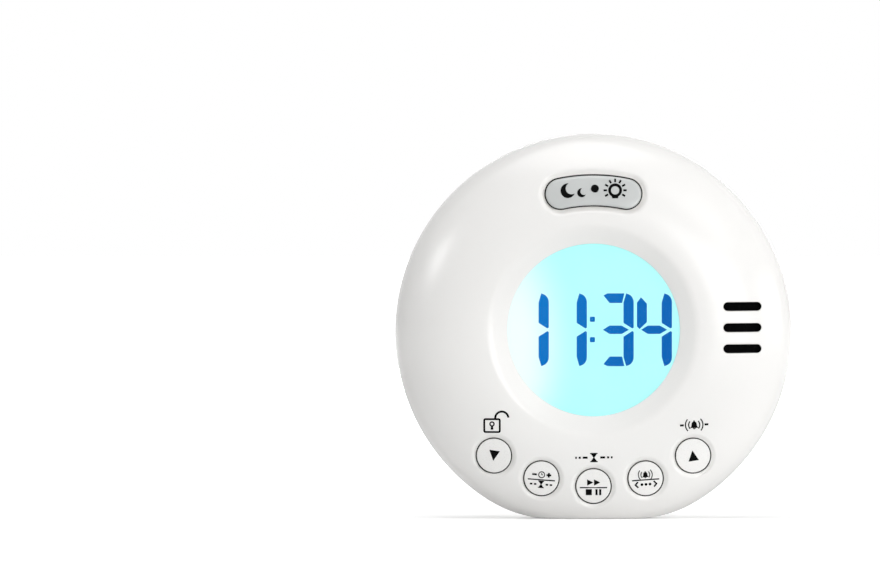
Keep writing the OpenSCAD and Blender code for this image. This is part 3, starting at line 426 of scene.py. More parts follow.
def cell_material():
    """Printed sleeve of a plain dry cell: dark body, a copper band, and bare steel ends."""
    made, tree, shader = finish_material("dry_cell_sleeve", Roughness=0.3, IOR=1.5)
    along = add(tree, "ShaderNodeAttribute", attribute_name="along").outputs["Fac"]
    colours = [srgb(code) for code in ("C9CBCE", "B4713B", "1B1C20", "C9CBCE")]
    metal = [(share, share, share, 1) for share in (1.0, 0.35, 0.0, 1.0)]
    feed(
        tree,
        shader,
        Base_Color=stepped(tree, along, *colours),
        Metallic=stepped(tree, along, *metal),
    )
    return made


# ---------------------------------------------------------------- outlines
# Each returns an anticlockwise loop, grown outwards by `grow`.


def polar(r, turn):
    """Points at a distance from the origin, in the direction of each angle."""
    return np.column_stack((r * np.cos(turn), r * np.sin(turn)))


def circle(x, y, r, count=96):
    def loop(grow=0.0):
        return polar(r + grow, np.linspace(0, 2 * math.pi, count, endpoint=False)) + (x, y)

    return loop


def stadium(x, y, length, width, count=20):
    def loop(grow=0.0):
        reach = (length - width) / 2
        r = width / 2 + grow
        right = polar(r, np.linspace(-math.pi / 2, math.pi / 2, count)) + (reach, 0)
        side = np.linspace(reach, -reach, 24)[1:-1]
        top = np.column_stack((side, np.full(len(side), r)))
        return np.vstack((right, top, -right, -top)) + (x, y)

    return loop


def kidney(count=20, steps=48):
    """Slot along the snooze button's arc, with round ends."""

    def loop(grow=0.0):
        w, up = SNOOZE_HALF_W + grow, math.pi / 2

        def end(side):
            centre = up + side * SNOOZE_HALF_ANGLE
            first = centre if side > 0 else centre + math.pi
            turn = first + np.linspace(0, math.pi, count)[1:-1]
            return polar(SNOOZE_ARC_R, centre) + polar(w, turn)

        sweep = up + np.linspace(-SNOOZE_HALF_ANGLE, SNOOZE_HALF_ANGLE, steps)
        outer, inner = polar(SNOOZE_ARC_R + w, sweep), polar(SNOOZE_ARC_R - w, sweep[::-1])
        return np.vstack((outer, end(1), inner, end(-1))) + (0, SNOOZE_ARC_Y)

    return loop


def rounded_box(x, y, length, width, r, count=8, step=1.2):
    def loop(grow=0.0):
        l, w = length / 2 - r, width / 2 - r
        corners = ((l, -w, -90), (l, w, 0), (-l, w, 90), (-l, -w, 180))
        parts = []
        for i, (cx, cy, start) in enumerate(corners):
            nx, ny, bearing = corners[(i + 1) % 4]
            turn = np.radians(start + np.linspace(0, 90, count))
            parts.append(polar(r + grow, turn) + (cx, cy))
            a, b = parts[-1][-1], polar(r + grow, math.radians(bearing)) + (nx, ny)
            number = int(max(abs(nx - cx), abs(ny - cy)) / step)
            parts.append(a + (b - a) * np.linspace(0, 1, number + 2)[1:-1, None])
        return np.vstack(parts) + (x, y)

    return loop


def slots(narrower):
    """The speaker's three slots, each this much shorter and narrower."""
    size = SLOT_L - narrower, SLOT_W - narrower
    return [stadium(SLOT_X, SLOT_Y + row * SLOT_PITCH, *size) for row in (-1, 0, 1)]


def outline_reach(turn):
    """Distance from the centre to the casing's outline, in the direction of each angle."""
    corner_y = CORNER_R - STAND_H
    corner_x = math.sqrt((CASE_R - CORNER_R) ** 2 - corner_y**2)
    from_down = np.abs((turn + math.pi / 2 + math.pi) % (2 * math.pi) - math.pi)
    ux, uy = np.sin(from_down), -np.cos(from_down)
    flat = -STAND_H / np.minimum(uy, -1e-6)
    along = ux * corner_x + uy * corner_y
    within = along**2 - (corner_x**2 + corner_y**2 - CORNER_R**2)
    corner = along + np.sqrt(np.maximum(within, 0))
    flat_end = math.atan2(corner_x, STAND_H)
    corner_end = math.atan2(corner_x, -corner_y)
    return np.where(from_down < flat_end, flat, np.where(from_down < corner_end, corner, CASE_R))


# ---------------------------------------------------------------- surface heights


def crown_of(flat_r):
    """Radius of the crown arc between the flat middle and the rim, tangent to both."""
    run = RIM_X - flat_r
    return (run * run + HALF * HALF - RIM_R * RIM_R) / (2 * (HALF - RIM_R))


def body_height(r, flat_r):
    """Height of the bare casing above its middle plane, at a distance from the centre."""
    crown = crown_of(flat_r)
    lift, run = HALF - crown, RIM_X - flat_r
    seam_r = flat_r + crown * run / math.hypot(run, lift)
    on_crown = lift + np.sqrt(np.maximum(crown**2 - np.maximum(r - flat_r, 0) ** 2, 0))
    on_rim = np.sqrt(np.maximum(RIM_R**2 - (r - RIM_X) ** 2, 0))
    return np.where(r <= seam_r, on_crown, on_rim)


def bare_front(x, y):
    return body_height(np.hypot(x, y), FRONT_FLAT_R)


def bare_rear(x, y):
    return body_height(np.hypot(x, y), REAR_FLAT_R)


def smooth(t):
    t = np.clip(t, 0, 1)
    return t * t * (3 - 2 * t)


def kidney_distance(x, y):
    """Distance outside the snooze button's edge."""
    px, py = np.abs(x), y - SNOOZE_ARC_Y
    end_x, end_y = (SNOOZE_ARC_R * f(SNOOZE_HALF_ANGLE) for f in (math.sin, math.cos))
    on_arc = np.abs(np.hypot(px, py) - SNOOZE_ARC_R)
    at_end = np.hypot(px - end_x, py - end_y)
    return np.where(np.arctan2(px, py) < SNOOZE_HALF_ANGLE, on_arc, at_end) - SNOOZE_HALF_W


def dish_height(x, y):
    d = np.hypot(x, y - DISH_Y)
    cone = DISH_Z + (d - WINDOW_R) * math.tan(DISH_ANGLE)
    inwards = DISH_END - np.minimum(d, DISH_END)
    edge = HALF - DISH_EDGE_R + np.sqrt(np.maximum(DISH_EDGE_R**2 - inwards**2, 0))
    return np.where(d < DISH_START, cone, np.where(d < DISH_END, edge, HALF))


def front_height(x, y):
    """Front of the casing: crown, dish, and the soft recesses round the buttons."""
    height = np.minimum(bare_front(x, y), dish_height(x, y))
    for name in KEYS:
        kx, ky = key_place(name)
        out = np.hypot(x - kx, y - ky) - KEY_R - KEY_GAP
        height = height - RECESS_DEPTH * smooth(1 - out / RECESS_W)
    out = kidney_distance(x, y) - KEY_GAP
    return height - POCKET_DEPTH * smooth(1 - out / POCKET_W)


def key_height(x, y):
    """Top of a round button: it follows the casing, a touch lower than its surface."""
    return bare_front(x, y) - KEY_SUNK


def snooze_height(x, y):
    """Top of the snooze button, crowned a little between its edges."""
    inwards = np.clip(-kidney_distance(x, y) / SNOOZE_HALF_W, 0, 1)
    return bare_front(x, y) - SNOOZE_SUNK + SNOOZE_CROWN * np.sqrt(inwards)


def rear_height(x, y):
    """Back of the casing, with the scoop for a fingertip below the door."""
    d = np.hypot(x, y - NOTCH_Y) / NOTCH_R
    start = 0.3
    scoop = np.sqrt(np.maximum(1 - d**2, 0)) * smooth((NOTCH_Y - y + start) / start)
    return bare_rear(x, y) - NOTCH_DEPTH * scoop


def door_height(x, y):
    """Outside of the battery door, with four grip grooves over its latch."""
    height = bare_rear(x, y) - DOOR_SUNK
    for row in GRIP_ROWS:
        groove = GRIP_DEPTH * smooth(1 - np.abs(y - row) / GRIP_HALF_W)
        height = height - groove * smooth((GRIP_HALF_L - np.abs(x)) / GRIP_HALF_W)
    return height


def film_plane(x, y):
    return np.full(np.shape(x), FILM_Z)


# ---------------------------------------------------------------- mesh making


def inside(loop, points):
    """True for each point inside a closed loop."""
    x, y = points[:, 0], points[:, 1]
    hit = np.zeros(len(points), bool)
    for (x0, y0), (x1, y1) in zip(loop, np.roll(loop, -1, axis=0)):
        crosses = (y0 > y) != (y1 > y)
        if y0 != y1:
            hit ^= crosses & (x < (x1 - x0) * (y - y0) / (y1 - y0) + x0)
    return hit


def triangulated(points, loops, mode, wanted):
    """Triangles between points, cut along the loops that come first among them. `wanted`
    picks them by their middles, and each is turned anticlockwise."""
    edges, start = [], 0
    for n in map(len, loops):
        edges += [(start + i, start + (i + 1) % n) for i in range(n)]
        start += n
    out = geometry.delaunay_2d_cdt([Vector(p) for p in points], edges, [], mode, 1e-6)
    flat = np.array([tuple(v) for v in out[0]])
    triangles = np.array([tuple(f) for f in out[2]])
    triangles = triangles[wanted(flat[triangles].mean(1))]
    a, b, c = (flat[triangles[:, i]] for i in range(3))
    area = (b[:, 0] - a[:, 0]) * (c[:, 1] - a[:, 1]) - (b[:, 1] - a[:, 1]) * (c[:, 0] - a[:, 0])
    triangles[area < 0] = triangles[area < 0][:, ::-1]
    return flat, triangles, np.abs(area)


def flat_sheet(outer, holes, guides, spacing):
    """Triangles of the plane inside `outer` and outside the holes. Guide points refine it."""
    loops = [outer] + list(holes)
    on_loops = sum(len(l) for l in loops)

    def clear(points):
        keep = np.ones(len(points), bool)
        for hole in holes:
            keep &= ~inside(hole, points)
        return keep

    fixed = np.vstack(loops + list(guides))
    keep = inside(outer, fixed) & clear(fixed)
    keep[:on_loops] = True
    fixed = fixed[keep]
    tree = kdtree.KDTree(len(fixed))
    for i, (x, y) in enumerate(fixed):
        tree.insert((x, y, 0), i)
    tree.balance()
    low, high = outer.min(0), outer.max(0)
    rows = []
    row_step = spacing * math.sqrt(3) / 2
    for j in range(int((high[1] - low[1]) / row_step) + 1):
        xs = np.arange(low[0] + (j % 2) * spacing / 2, high[0], spacing)
        rows.append(np.column_stack((xs, np.full(len(xs), low[1] + j * row_step))))
    grid = np.vstack(rows)
    grid = grid[inside(outer, grid) & clear(grid)]
    near = [tree.find((x, y, 0))[2] for x, y in grid]
    grid = grid[np.array(near) > spacing * 0.6]
    return triangulated(np.vstack((fixed, grid)), loops, 1, clear)[:2]


def lifted(flat, height, lift=0.0):
    return np.column_stack((flat, height(flat[:, 0], flat[:, 1]) + lift))


def rolled(loop, height, fillet, side, floor=None, steps=5):
    """Rings over an edge: a quarter round from the surface, then a wall down to the floor, or
    1 mm deep. side is 1 for a hole in the surface, and -1 for a cap that ends in it."""
    rings = []
    for turn in np.linspace(0, math.pi / 2, steps):
        flat = loop(side * fillet * (1 - math.sin(turn)))
        rings.append(lifted(flat, height, -fillet * (1 - math.cos(turn))))
    wall = rings[-1].copy()
    wall[:, 2] = wall[:, 2] - 1.0 if floor is None else floor
    return rings + [wall]


def quarter(r, z, radius, steps, rise):
    """Profile of a rounded edge, outwards to r from z. It rises or falls on the way."""
    turn = np.linspace(0, math.pi / 2, steps)
    out, up = r - radius + radius * np.sin(turn), rise * radius * (1 - np.cos(turn))
    return list(zip(out, z + up))


def linked(name, data):
    """A new object in the scene."""
    made = bpy.data.objects.new(name, data)
    bpy.context.scene.collection.objects.link(made)
    return made


class Builder:
    """Collects vertices and faces in the face frame, and makes one piece of them."""

    def __init__(self):
        self.points = []
        self.faces = []
        self.count = 0

    def add(self, points, faces):
        self.points.append(np.asarray(points, float).reshape(-1, 3))
        self.faces += [tuple(int(i) + self.count for i in f) for f in faces]
        self.count += len(self.points[-1])

    def sheet(self, outer, holes, guides, spacing, height):
        """The plane inside `outer` and outside the holes, lifted to the height of a surface."""
        flat, triangles = flat_sheet(outer, holes, guides, spacing)
        self.add(lifted(flat, height), triangles)

    def rings(self, rings, outward=True, close=False):
        """Bands of quads between neighbouring rings of equal length."""
        n = len(rings[0])
        faces = []
        for k in range(len(rings) - 1):
            for i in range(n):
                j = (i + 1) % n
                a, b, c, d = k * n + i, k * n + j, (k + 1) * n + j, (k + 1) * n + i
                faces.append((a, d, c, b) if outward else (a, b, c, d))
        if close:
            last = [(len(rings) - 1) * n + i for i in range(n)]
            faces.append(tuple(last[::-1]) if outward else tuple(last))
        self.add(np.vstack(rings), faces)

    def turned(self, profile, count, x=0, y=0, outward=True):
        """A turned shape: (radius, height) pairs along z from a place in the face frame."""
        turn = np.linspace(0, 2 * math.pi, count, endpoint=False)
        flat = [np.column_stack((polar(r, turn) + (x, y), np.full(count, z))) for r, z in profile]
        self.rings(flat, outward)

    def mirrored(self):
        """The same, turned to face backwards."""
        self.points = [p * (1, 1, -1) for p in self.points]
        self.faces = [f[::-1] for f in self.faces]

    def piece(self, name, material, body, sharp=40, merge=0.002):
        points = np.vstack(self.points)
        world = np.column_stack((points[:, 0], -points[:, 2], STAND_H + points[:, 1])) * MM
        mesh = bpy.data.meshes.new(name)
        mesh.from_pydata([tuple(p) for p in world], [], self.faces)
        shape = bmesh.new()
        shape.from_mesh(mesh)
        bmesh.ops.remove_doubles(shape, verts=shape.verts, dist=merge * MM)
        bmesh.ops.dissolve_degenerate(shape, edges=shape.edges, dist=1e-7)
        for face in shape.faces:
            face.smooth = True
        for edge in shape.edges:
            if len(edge.link_faces) == 2:
                edge.smooth = edge.calc_face_angle(0) < math.radians(sharp)
        shape.to_mesh(mesh)
        shape.free()
        made = linked(name, mesh)
        mesh.materials.append(material)
        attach(made, body)
        return made


def close_ends(made, dist=0.03):
    """Merges the tiny end rings of a turned piece into poles, and turns its faces outwards."""
    shape = bmesh.new()
    shape.from_mesh(made.data)
    short = dist * MM * 0.05
    tiny = [v for v in shape.verts if any(e.calc_length() < short for e in v.link_edges)]
    bmesh.ops.remove_doubles(shape, verts=tiny, dist=dist * MM)
    bmesh.ops.recalc_face_normals(shape, faces=shape.faces)
    shape.to_mesh(made.data)
    shape.free()


def rim_rings(flat_r, turns, count=16):
    """Rings from the sheet's edge round the rim to the seam, following the base's flat."""
    crown = crown_of(flat_r)
    lift = HALF - crown
    run = RIM_X - flat_r
    inner_seam = flat_r + (crown - BASE_FILLET) * run / math.hypot(run, lift)
    seam_z = SEAM_HALF_W + SEAM_ROUND
    columns = []
    for turn, out in zip(turns, outline_reach(turns)):
        edge = out - BASE_FILLET
        if edge < inner_seam:
            (cx, cz), radius = (flat_r, lift), crown - BASE_FILLET
        else:
            (cx, cz), radius = (RIM_X, 0.0), RIM_R - BASE_FILLET
        edge_z = cz + math.sqrt(max(radius**2 - (edge - cx) ** 2, 0))
        normal = math.atan2(edge_z - cz, edge - cx)
        touch = edge + BASE_FILLET * math.cos(normal)
        r = np.linspace(SKIN_EDGE_R, touch, 40)
        skin = np.column_stack((r, body_height(r, flat_r)))
        skin[-1] = (touch, edge_z + BASE_FILLET * math.sin(normal))
        bend = polar(BASE_FILLET, np.linspace(normal, 0, 12)[1:]) + (edge, edge_z)
        path = np.vstack((skin, bend, (out, seam_z)))
        if path[-2][1] < path[-1][1]:
            path[:, 1] = np.maximum(path[:, 1], seam_z)
        length = np.concatenate(([0], np.cumsum(np.hypot(*np.diff(path, axis=0).T))))
        at = np.linspace(0, length[-1], count)
        r, z = (np.interp(at, length, path[:, i]) for i in (0, 1))
        r = np.concatenate((r, [out - SEAM_ROUND, out - SEAM_DEPTH, out - SEAM_DEPTH]))
        z = np.concatenate((z, [SEAM_HALF_W, SEAM_HALF_W, 0]))
        columns.append(np.column_stack((r * math.cos(turn), r * math.sin(turn), z)))
    return list(np.array(columns).swapaxes(0, 1))


def solid_without(node, gone):
    """Merged points and faces of a CAD node, without the faces whose corners are all gone."""
    shape = bmesh.new()
    shape.from_mesh(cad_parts[node].data)
    bmesh.ops.remove_doubles(shape, verts=shape.verts, dist=1e-6)
    shape.verts.ensure_lookup_table()
    world = np.array([v.co for v in shape.verts]) / MM
    points = np.column_stack((world[:, 0], world[:, 2] - STAND_H, -world[:, 1]))
    removed = gone(points)
    faces = [[v.index for v in f.verts] for f in shape.faces]
    shape.free()
    return points, [f for f in faces if not removed[f].all()]


def on_skin(points, modelled, flat_r):
    """True for points on the casing's outer skin, its base or its seam groove, and for those
    that are modelled otherwise."""
    x, y, z = points.T
    near, flat_part = 0.05, 20
    r = np.hypot(x, y)
    edge = outline_reach(np.arctan2(y, x))
    crown = crown_of(flat_r)
    off_rim = np.abs(np.hypot(r - RIM_X, z) - RIM_R)
    off_crown = np.abs(np.hypot(np.maximum(r - flat_r, 0), z - (HALF - crown)) - crown)
    on_round = (z > -near) & (np.minimum(off_rim, off_crown) < 0.08)
    on_round &= (r > flat_part) | (z > HALF - 0.1)
    on_base = (np.abs(r - edge) < 0.12) & (edge < CASE_R - 0.02)
    groove = (r > CASE_R - SEAM_DEPTH - near) & (np.abs(z) < SEAM_HALF_W + near)
    return on_round | on_base | groove | modelled(x, y, z)


# ---------------------------------------------------------------- casing
# An opening is its loop, the fillet at its edge and the height of its floor.


def guides_round(openings, distances):
    return [loop(fillet + d) for loop, fillet, _ in openings for d in distances]


def skin(openings, guides, spacing, height, flat_r):
    """Outside of a casing half: its sheet, the walls of its openings, and its rim."""
    turns = np.linspace(-math.pi, math.pi, RIM_STEPS, endpoint=False)
    holes = [loop(fillet) for loop, fillet, _ in openings]
    build = Builder()
    build.sheet(polar(SKIN_EDGE_R, turns), holes, guides, spacing, height)
    for loop, fillet, floor in openings:
        build.rings(rolled(loop, height, fillet, 1, floor), outward=False)
    build.rings(rim_rings(flat_r, turns))
    return build


def front_piece(m):
    """Front half: one moulded sheet with the dish, soft recesses, bores, slots and rim."""
    bore_r = KEY_R + KEY_GAP + OPENING_WIDER
    openings = [(circle(*key_place(name), bore_r), 0.2, KEY_BORE_Z) for name in KEYS]
    openings.append((lambda grow: kidney()(grow + KEY_GAP + OPENING_WIDER), 0.22, SNOOZE_BORE_Z))
    openings += [(slot, 0.3, SLOT_FLOOR_Z) for slot in slots(2 * SKIN_LIFT)]
    guides = guides_round(openings, (0.25, 0.5, 0.75, 1.0, 1.3, 1.7, 2.2))
    openings.insert(0, (circle(0, DISH_Y, WINDOW_R - SKIN_LIFT, ROUND), 0.18, LIP_Z))
    bend = np.linspace(DISH_START, DISH_END, 9)
    for r in (WINDOW_R + 0.8, WINDOW_R + 1.8, DISH_START - 0.6, *bend, DISH_END + 0.6):
        guides.append(circle(0, DISH_Y, r, ROUND)())
    build = skin(openings, guides, 1.1, front_height, FRONT_FLAT_R)

    def modelled(x, y, z):
        d = np.hypot(x, y - DISH_Y)
        in_dish = (d < DISH_END + 0.1) & (z > DISH_Z - 0.1) & (d > WINDOW_R - 0.1)
        return in_dish | ((z > bare_front(x, y) - SKIN_SUNK) & (z > 5))

    build.add(*solid_without("front_case", lambda p: on_skin(p, modelled, FRONT_FLAT_R)))
    made = build.piece("front_half", m["casing"], "casing")
    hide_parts("front_case")


def rear_piece(m):
    """Rear half: rounded back with the door's opening, screw wells and finger scoop."""
    wider = 2 * (DOOR_GAP - SKIN_LIFT)
    door = rounded_box(0, DOOR_Y, DOOR_L + wider, DOOR_W + wider, DOOR_CORNER_R)
    openings = [(door, 0.25, HALF - 1.6)]
    for place in SCREW_PLACES:
        openings.append((circle(*place, COUNTERBORE_R - SKIN_LIFT, 48), 0.3, -SCREW_HEAD_Z))
    guides = guides_round(openings, (0.3, 0.7, 1.2))
    for r in (1, 2, 3, 3.8, 4.4, 4.8, 5.0, 5.2, 5.6):
        guides.append(circle(0, NOTCH_Y, r, 64)())
    build = skin(openings, guides, 1.5, rear_height, REAR_FLAT_R)
    build.mirrored()

    def scoop(x, y, z):
        near = np.hypot(x, y - NOTCH_Y) < NOTCH_R + 0.1
        return near & (z > HALF - 1.3) & (y < NOTCH_Y + 0.25)

    def gone(points):
        return on_skin(points * (1, 1, -1), scoop, REAR_FLAT_R)

    build.add(*solid_without("rear_case", gone))
    made = build.piece("rear_half", m["casing"], "casing")
    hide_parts("rear_case")


def door_piece(m):
    """Battery door: its modelled outside, over the solid's inside, pins and latch."""
    size = DOOR_L + 2 * SKIN_LIFT, DOOR_W + 2 * SKIN_LIFT
    loop, fillet = rounded_box(0, DOOR_Y, *size, DOOR_CORNER_R), 0.35
    beyond = 0.6
    xs = np.linspace(-GRIP_HALF_L - beyond, GRIP_HALF_L + beyond, 45)
    guides = [
        np.column_stack((xs, np.full(len(xs), row + dy)))
        for row in GRIP_ROWS
        for dy in np.linspace(-beyond, beyond, 7)
    ]
    build = Builder()
    build.sheet(loop(-fillet), [], guides, 1.2, door_height)
    build.rings(rolled(loop, door_height, fillet, -1, HALF - 0.8))
    build.mirrored()

    def gone(points):
        x, y, z = points.T
        return -z > bare_rear(x, y) - SKIN_SUNK

    build.add(*solid_without("battery_door", gone))
    made = build.piece("door_shell", m["casing"], "door")
    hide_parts("battery_door")


# ---------------------------------------------------------------- buttons


def cap_piece(name, node, loop, height, fillet, spacing, material, body):
    """A button: its modelled top and edge, over the solid's own sides and ears. The solid's
    faces near the top give way, and the rest of it keeps below."""
    gone_from, kept_to = 0.2, 0.3
    build = Builder()
    guides = [loop(-fillet - d) for d in (0.3, 0.7)]
    build.sheet(loop(-fillet), [], guides, spacing, height)
    build.rings(rolled(loop, height, fillet, -1))

    def gone(points):
        x, y, z = points.T
        return z > height(x, y) - gone_from

    points, faces = solid_without(node, gone)
    points[:, 2] = np.minimum(points[:, 2], height(points[:, 0], points[:, 1]) - kept_to)
    build.add(points, faces)
    made = build.piece(name, material, body)
    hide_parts(node)


def make_buttons(m):
    for name in KEYS:
        loop = circle(*key_place(name), KEY_R + SKIN_LIFT)
        cap_piece(f"{name}_cap", f"{name}_button", loop, key_height, 0.22, 0.6,
                  m["white_key"], f"{name}_key")
    cap_piece("snooze_cap", "snooze_button", lambda grow: kidney()(grow + SKIN_LIFT), snooze_height,
              0.45, 0.7, m["grey_key"], "snooze_key")


def cloth_piece(m):
    """Woven cloth: a disc under the casing, pressed up into the three slots to just below the
    surface."""
    disc_r, front_z, back_z, fillet = 8.75, 6.98, 6.62, 0.15
    profile = [(0.01, front_z), (disc_r - 0.1, front_z), (disc_r, front_z - 0.1), (disc_r, back_z),
               (0.01, back_z)]

    def top(x, y):
        return front_height(x, y) - CLOTH_DEPTH

    build = Builder()
    build.turned(profile, 96, SPEAKER_X, SLOT_Y)
    for pad in slots(0.1):
        build.sheet(pad(-fillet), [], [], 0.6, top)
        build.rings(rolled(pad, top, fillet, -1, SLOT_FLOOR_Z + 0.02), close=True)
    made = build.piece("speaker_cloth_woven", m["cloth"], "casing")
    close_ends(made)
    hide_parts("speaker_cloth")


def gap_shade_rings(m):
    """Black rings in the gaps round the buttons, just below the casing's surface: painted shade
    standing for the shadow down in the gaps.
    """
    build = Builder()
    top, foot = 0.1, 0.9
    for edge in [circle(*key_place(name), KEY_R) for name in KEYS] + [kidney()]:
        inner, outer = edge(0.035), edge(KEY_GAP + 0.1)
        level = front_height(*((inner + outer) / 2).T)
        sides = ((inner, top), (inner, foot), (outer, foot), (outer, top), (inner, top))
        build.rings([np.column_stack((loop, level - low)) for loop, low in sides], outward=False)
    made = build.piece("button_seals", m["seal"], "casing")


# ---------------------------------------------------------------- prints
# A shape is a list of loops; a point inside an odd number of them is inked.


def polygon(*points):
    return [np.array(points, float)]


def dot(x, y, r, count=28):
    return [circle(x, y, r, count)()]


def ring(x, y, r_out, r_in, count=36):
    return [circle(x, y, r_out, count)(), circle(x, y, r_in, count)()]


def bar(x0, y0, x1, y1, width):
    """A straight stroke with square ends."""
    a, b = np.array((x0, y0), float), np.array((x1, y1), float)
    along = (b - a) / np.linalg.norm(b - a)
    across = np.array((-along[1], along[0])) * width / 2
    return [np.array([a - across, b - across, b + across, a + across])]


def arc(x, y, r, width, start, end, count=24):
    """A curved stroke, from one angle to another in degrees."""
    turn = np.radians(np.linspace(start, end, count))
    outer, inner = polar(r + width / 2, turn), polar(r - width / 2, turn[::-1])
    return [np.vstack((outer, inner)) + (x, y)]


def moved(shapes, x, y, scale=1.0, turn=0.0):
    c, s = math.cos(turn) * scale, math.sin(turn) * scale
    spin = np.array(((c, s), (-s, c)))
    return [[loop @ spin + (x, y) for loop in shape] for shape in shapes]


def ink_piece(name, shapes, height, material, body, lift=INK_LIFT, spacing=0.35):
    """A thin printed layer: the union of the shapes, laid on a surface."""

    def inked(at):
        hit = np.zeros(len(at), bool)
        for shape in shapes:
            hit |= np.logical_xor.reduce([inside(loop, at) for loop in shape])
        return hit

    loops = [loop for shape in shapes for loop in shape]
    corners = np.vstack(loops)
    xs, ys = (np.arange(a, b, spacing) for a, b in zip(corners.min(0), corners.max(0)))
    grid = np.column_stack([g.ravel() for g in np.meshgrid(xs, ys)]) + spacing * 0.37
    points = np.vstack((corners, grid[inked(grid)]))
    flat, triangles, area = triangulated(points, loops, 0, inked)
    triangles = triangles[area > 1e-9]
    # Walls stand on the edges that only one triangle has
    sides = {(int(t[i]), int(t[i - 2])): True for t in triangles for i in range(3)}
    n = len(flat)
    walls = [(i, i + n, j + n, j) for i, j in sides if (j, i) not in sides]
    build = Builder()
    build.add(np.vstack((lifted(flat, height, lift), lifted(flat, height, -0.02))),
              [tuple(t) for t in triangles] + walls)
    made = build.piece(name, material, body, sharp=30, merge=0.0005)


def hourglass():
    """1 high: two triangles between two bars."""
    shapes = []
    for s in (1, -1):
        shapes.append(bar(-0.42, 0.46 * s, 0.42, 0.46 * s, 0.12))
    for s in (1, -1):
        shapes.append(polygon((-0.34, 0.42 * s), (0.34, 0.42 * s), (0.05, 0.0), (-0.05, 0.0)))
    return shapes


def bell():
    """1 high: a dome with a flared foot, a knob and a clapper."""
    dome = polar(1, np.radians(np.linspace(0, 180, 15))) * (0.28, 0.26) + (0, 0.12)
    body = np.vstack((((0.46, -0.34), (0.32, -0.12)), dome, ((-0.32, -0.12), (-0.46, -0.34))))
    return [[body], dot(0, 0.42, 0.09, 16), arc(0, -0.34, 0.1, 0.1, 180, 360, 12)]


def clock_face():
    """1 high: a ring with two hands."""
    return [ring(0, 0, 0.5, 0.37), bar(0, -0.04, 0, 0.28, 0.1), bar(-0.04, 0, 0.22, 0, 0.1)]


def sound(side, first, step, size):
    """Two waves on one side of a bell."""
    middle = 0 if side > 0 else 180
    arcs = [arc(0, 0, first + step * i, 0.13, middle - 42, middle + 42, 14) for i in range(2)]
    return moved(arcs, 0, 0, size)


def crescent(x, y, r):
    """A moon with its hollow side to the upper right."""
    sx, sy, hollow = r * 0.5, r * 0.3, r * 0.8
    centre, d = math.atan2(sy, sx), math.hypot(sx, sy)
    half = math.acos((r * r + d * d - hollow * hollow) / (2 * r * d))
    outer = polar(r, np.linspace(centre + half, centre + 2 * math.pi - half, 40))
    first, last = (math.atan2(ty - sy, tx - sx) for tx, ty in (outer[-1], outer[0]))
    while last > first:
        last -= 2 * math.pi
    inner = polar(hollow, np.linspace(first, last, 30)[1:-1]) + (sx, sy)
    return [np.vstack((outer, inner)) + (x, y)]


def rounded_ring(x, y, w, h, r, stroke):
    """Outline of a box with round corners."""
    outer = rounded_box(x, y, w, h, r, 6, 5)()
    inner = rounded_box(x, y, w - 2 * stroke, h - 2 * stroke, max(r - stroke, 0.1), 6, 5)()
    return [outer, inner]


def legend_px(x, y):
    """Place of a legend, beside keys that the photo shows a little right of the middle."""
    return from_px(x - 1.7, y)


def print_legends(m):
    """Pictograms in the places and sizes of the photo's legends."""
    # Open padlock above the left button
    px, py = legend_px(493.2, 425.1)
    sx, sy = legend_px(503.0, 417.6)
    keyhole = ((px - 0.22, py), (px - 0.34, py - 1.0), (px + 0.34, py - 1.0), (px + 0.22, py))
    padlock = [
        rounded_ring(px, py, 4.3, 3.65, 0.55, 0.46),
        ring(px, py + 0.4, 0.66, 0.33, 24),
        polygon(*keyhole),
        arc(sx, sy, 1.62, 0.5, 5, 184),
    ]
    # Bell with sound waves above the right button
    test = moved(bell(), 0, 0, 2.2)
    for side in (-1, 1):
        test += sound(side, 0.62, 0.36, 2.2) + [bar(side * 2.55, 0, side * 3.5, 0, 0.5)]
    test = moved(test, *legend_px(695.2, 424.4), 1.0, math.radians(2.3))
    # Hourglass between bars above the middle button
    timer = moved(hourglass(), 0, 0, 2.2)
    for side in (-1, 1):
        for start, end in ((1.55, 2.75), (3.25, 3.75), (4.2, 4.6)):
            timer.append(bar(side * start, 0, side * end, 0, 0.5))
    timer = moved(timer, *legend_px(595.0, 457.0), 1.0, math.radians(0.8))
    for name, shapes in (("padlock", padlock), ("alarm_test", test), ("timer", timer)):
        ink_piece(f"{name}_print", shapes, front_height, m["ink"], "casing")


def print_key(m, name, shapes):
    """Ink on a round button, turned the way that its row fans out."""
    ink_piece(f"{name}_print", moved(shapes, *key_place(name), 1.0, KEYS[name] * KEY_TURN),
              key_height, m["ink"], f"{name}_key")


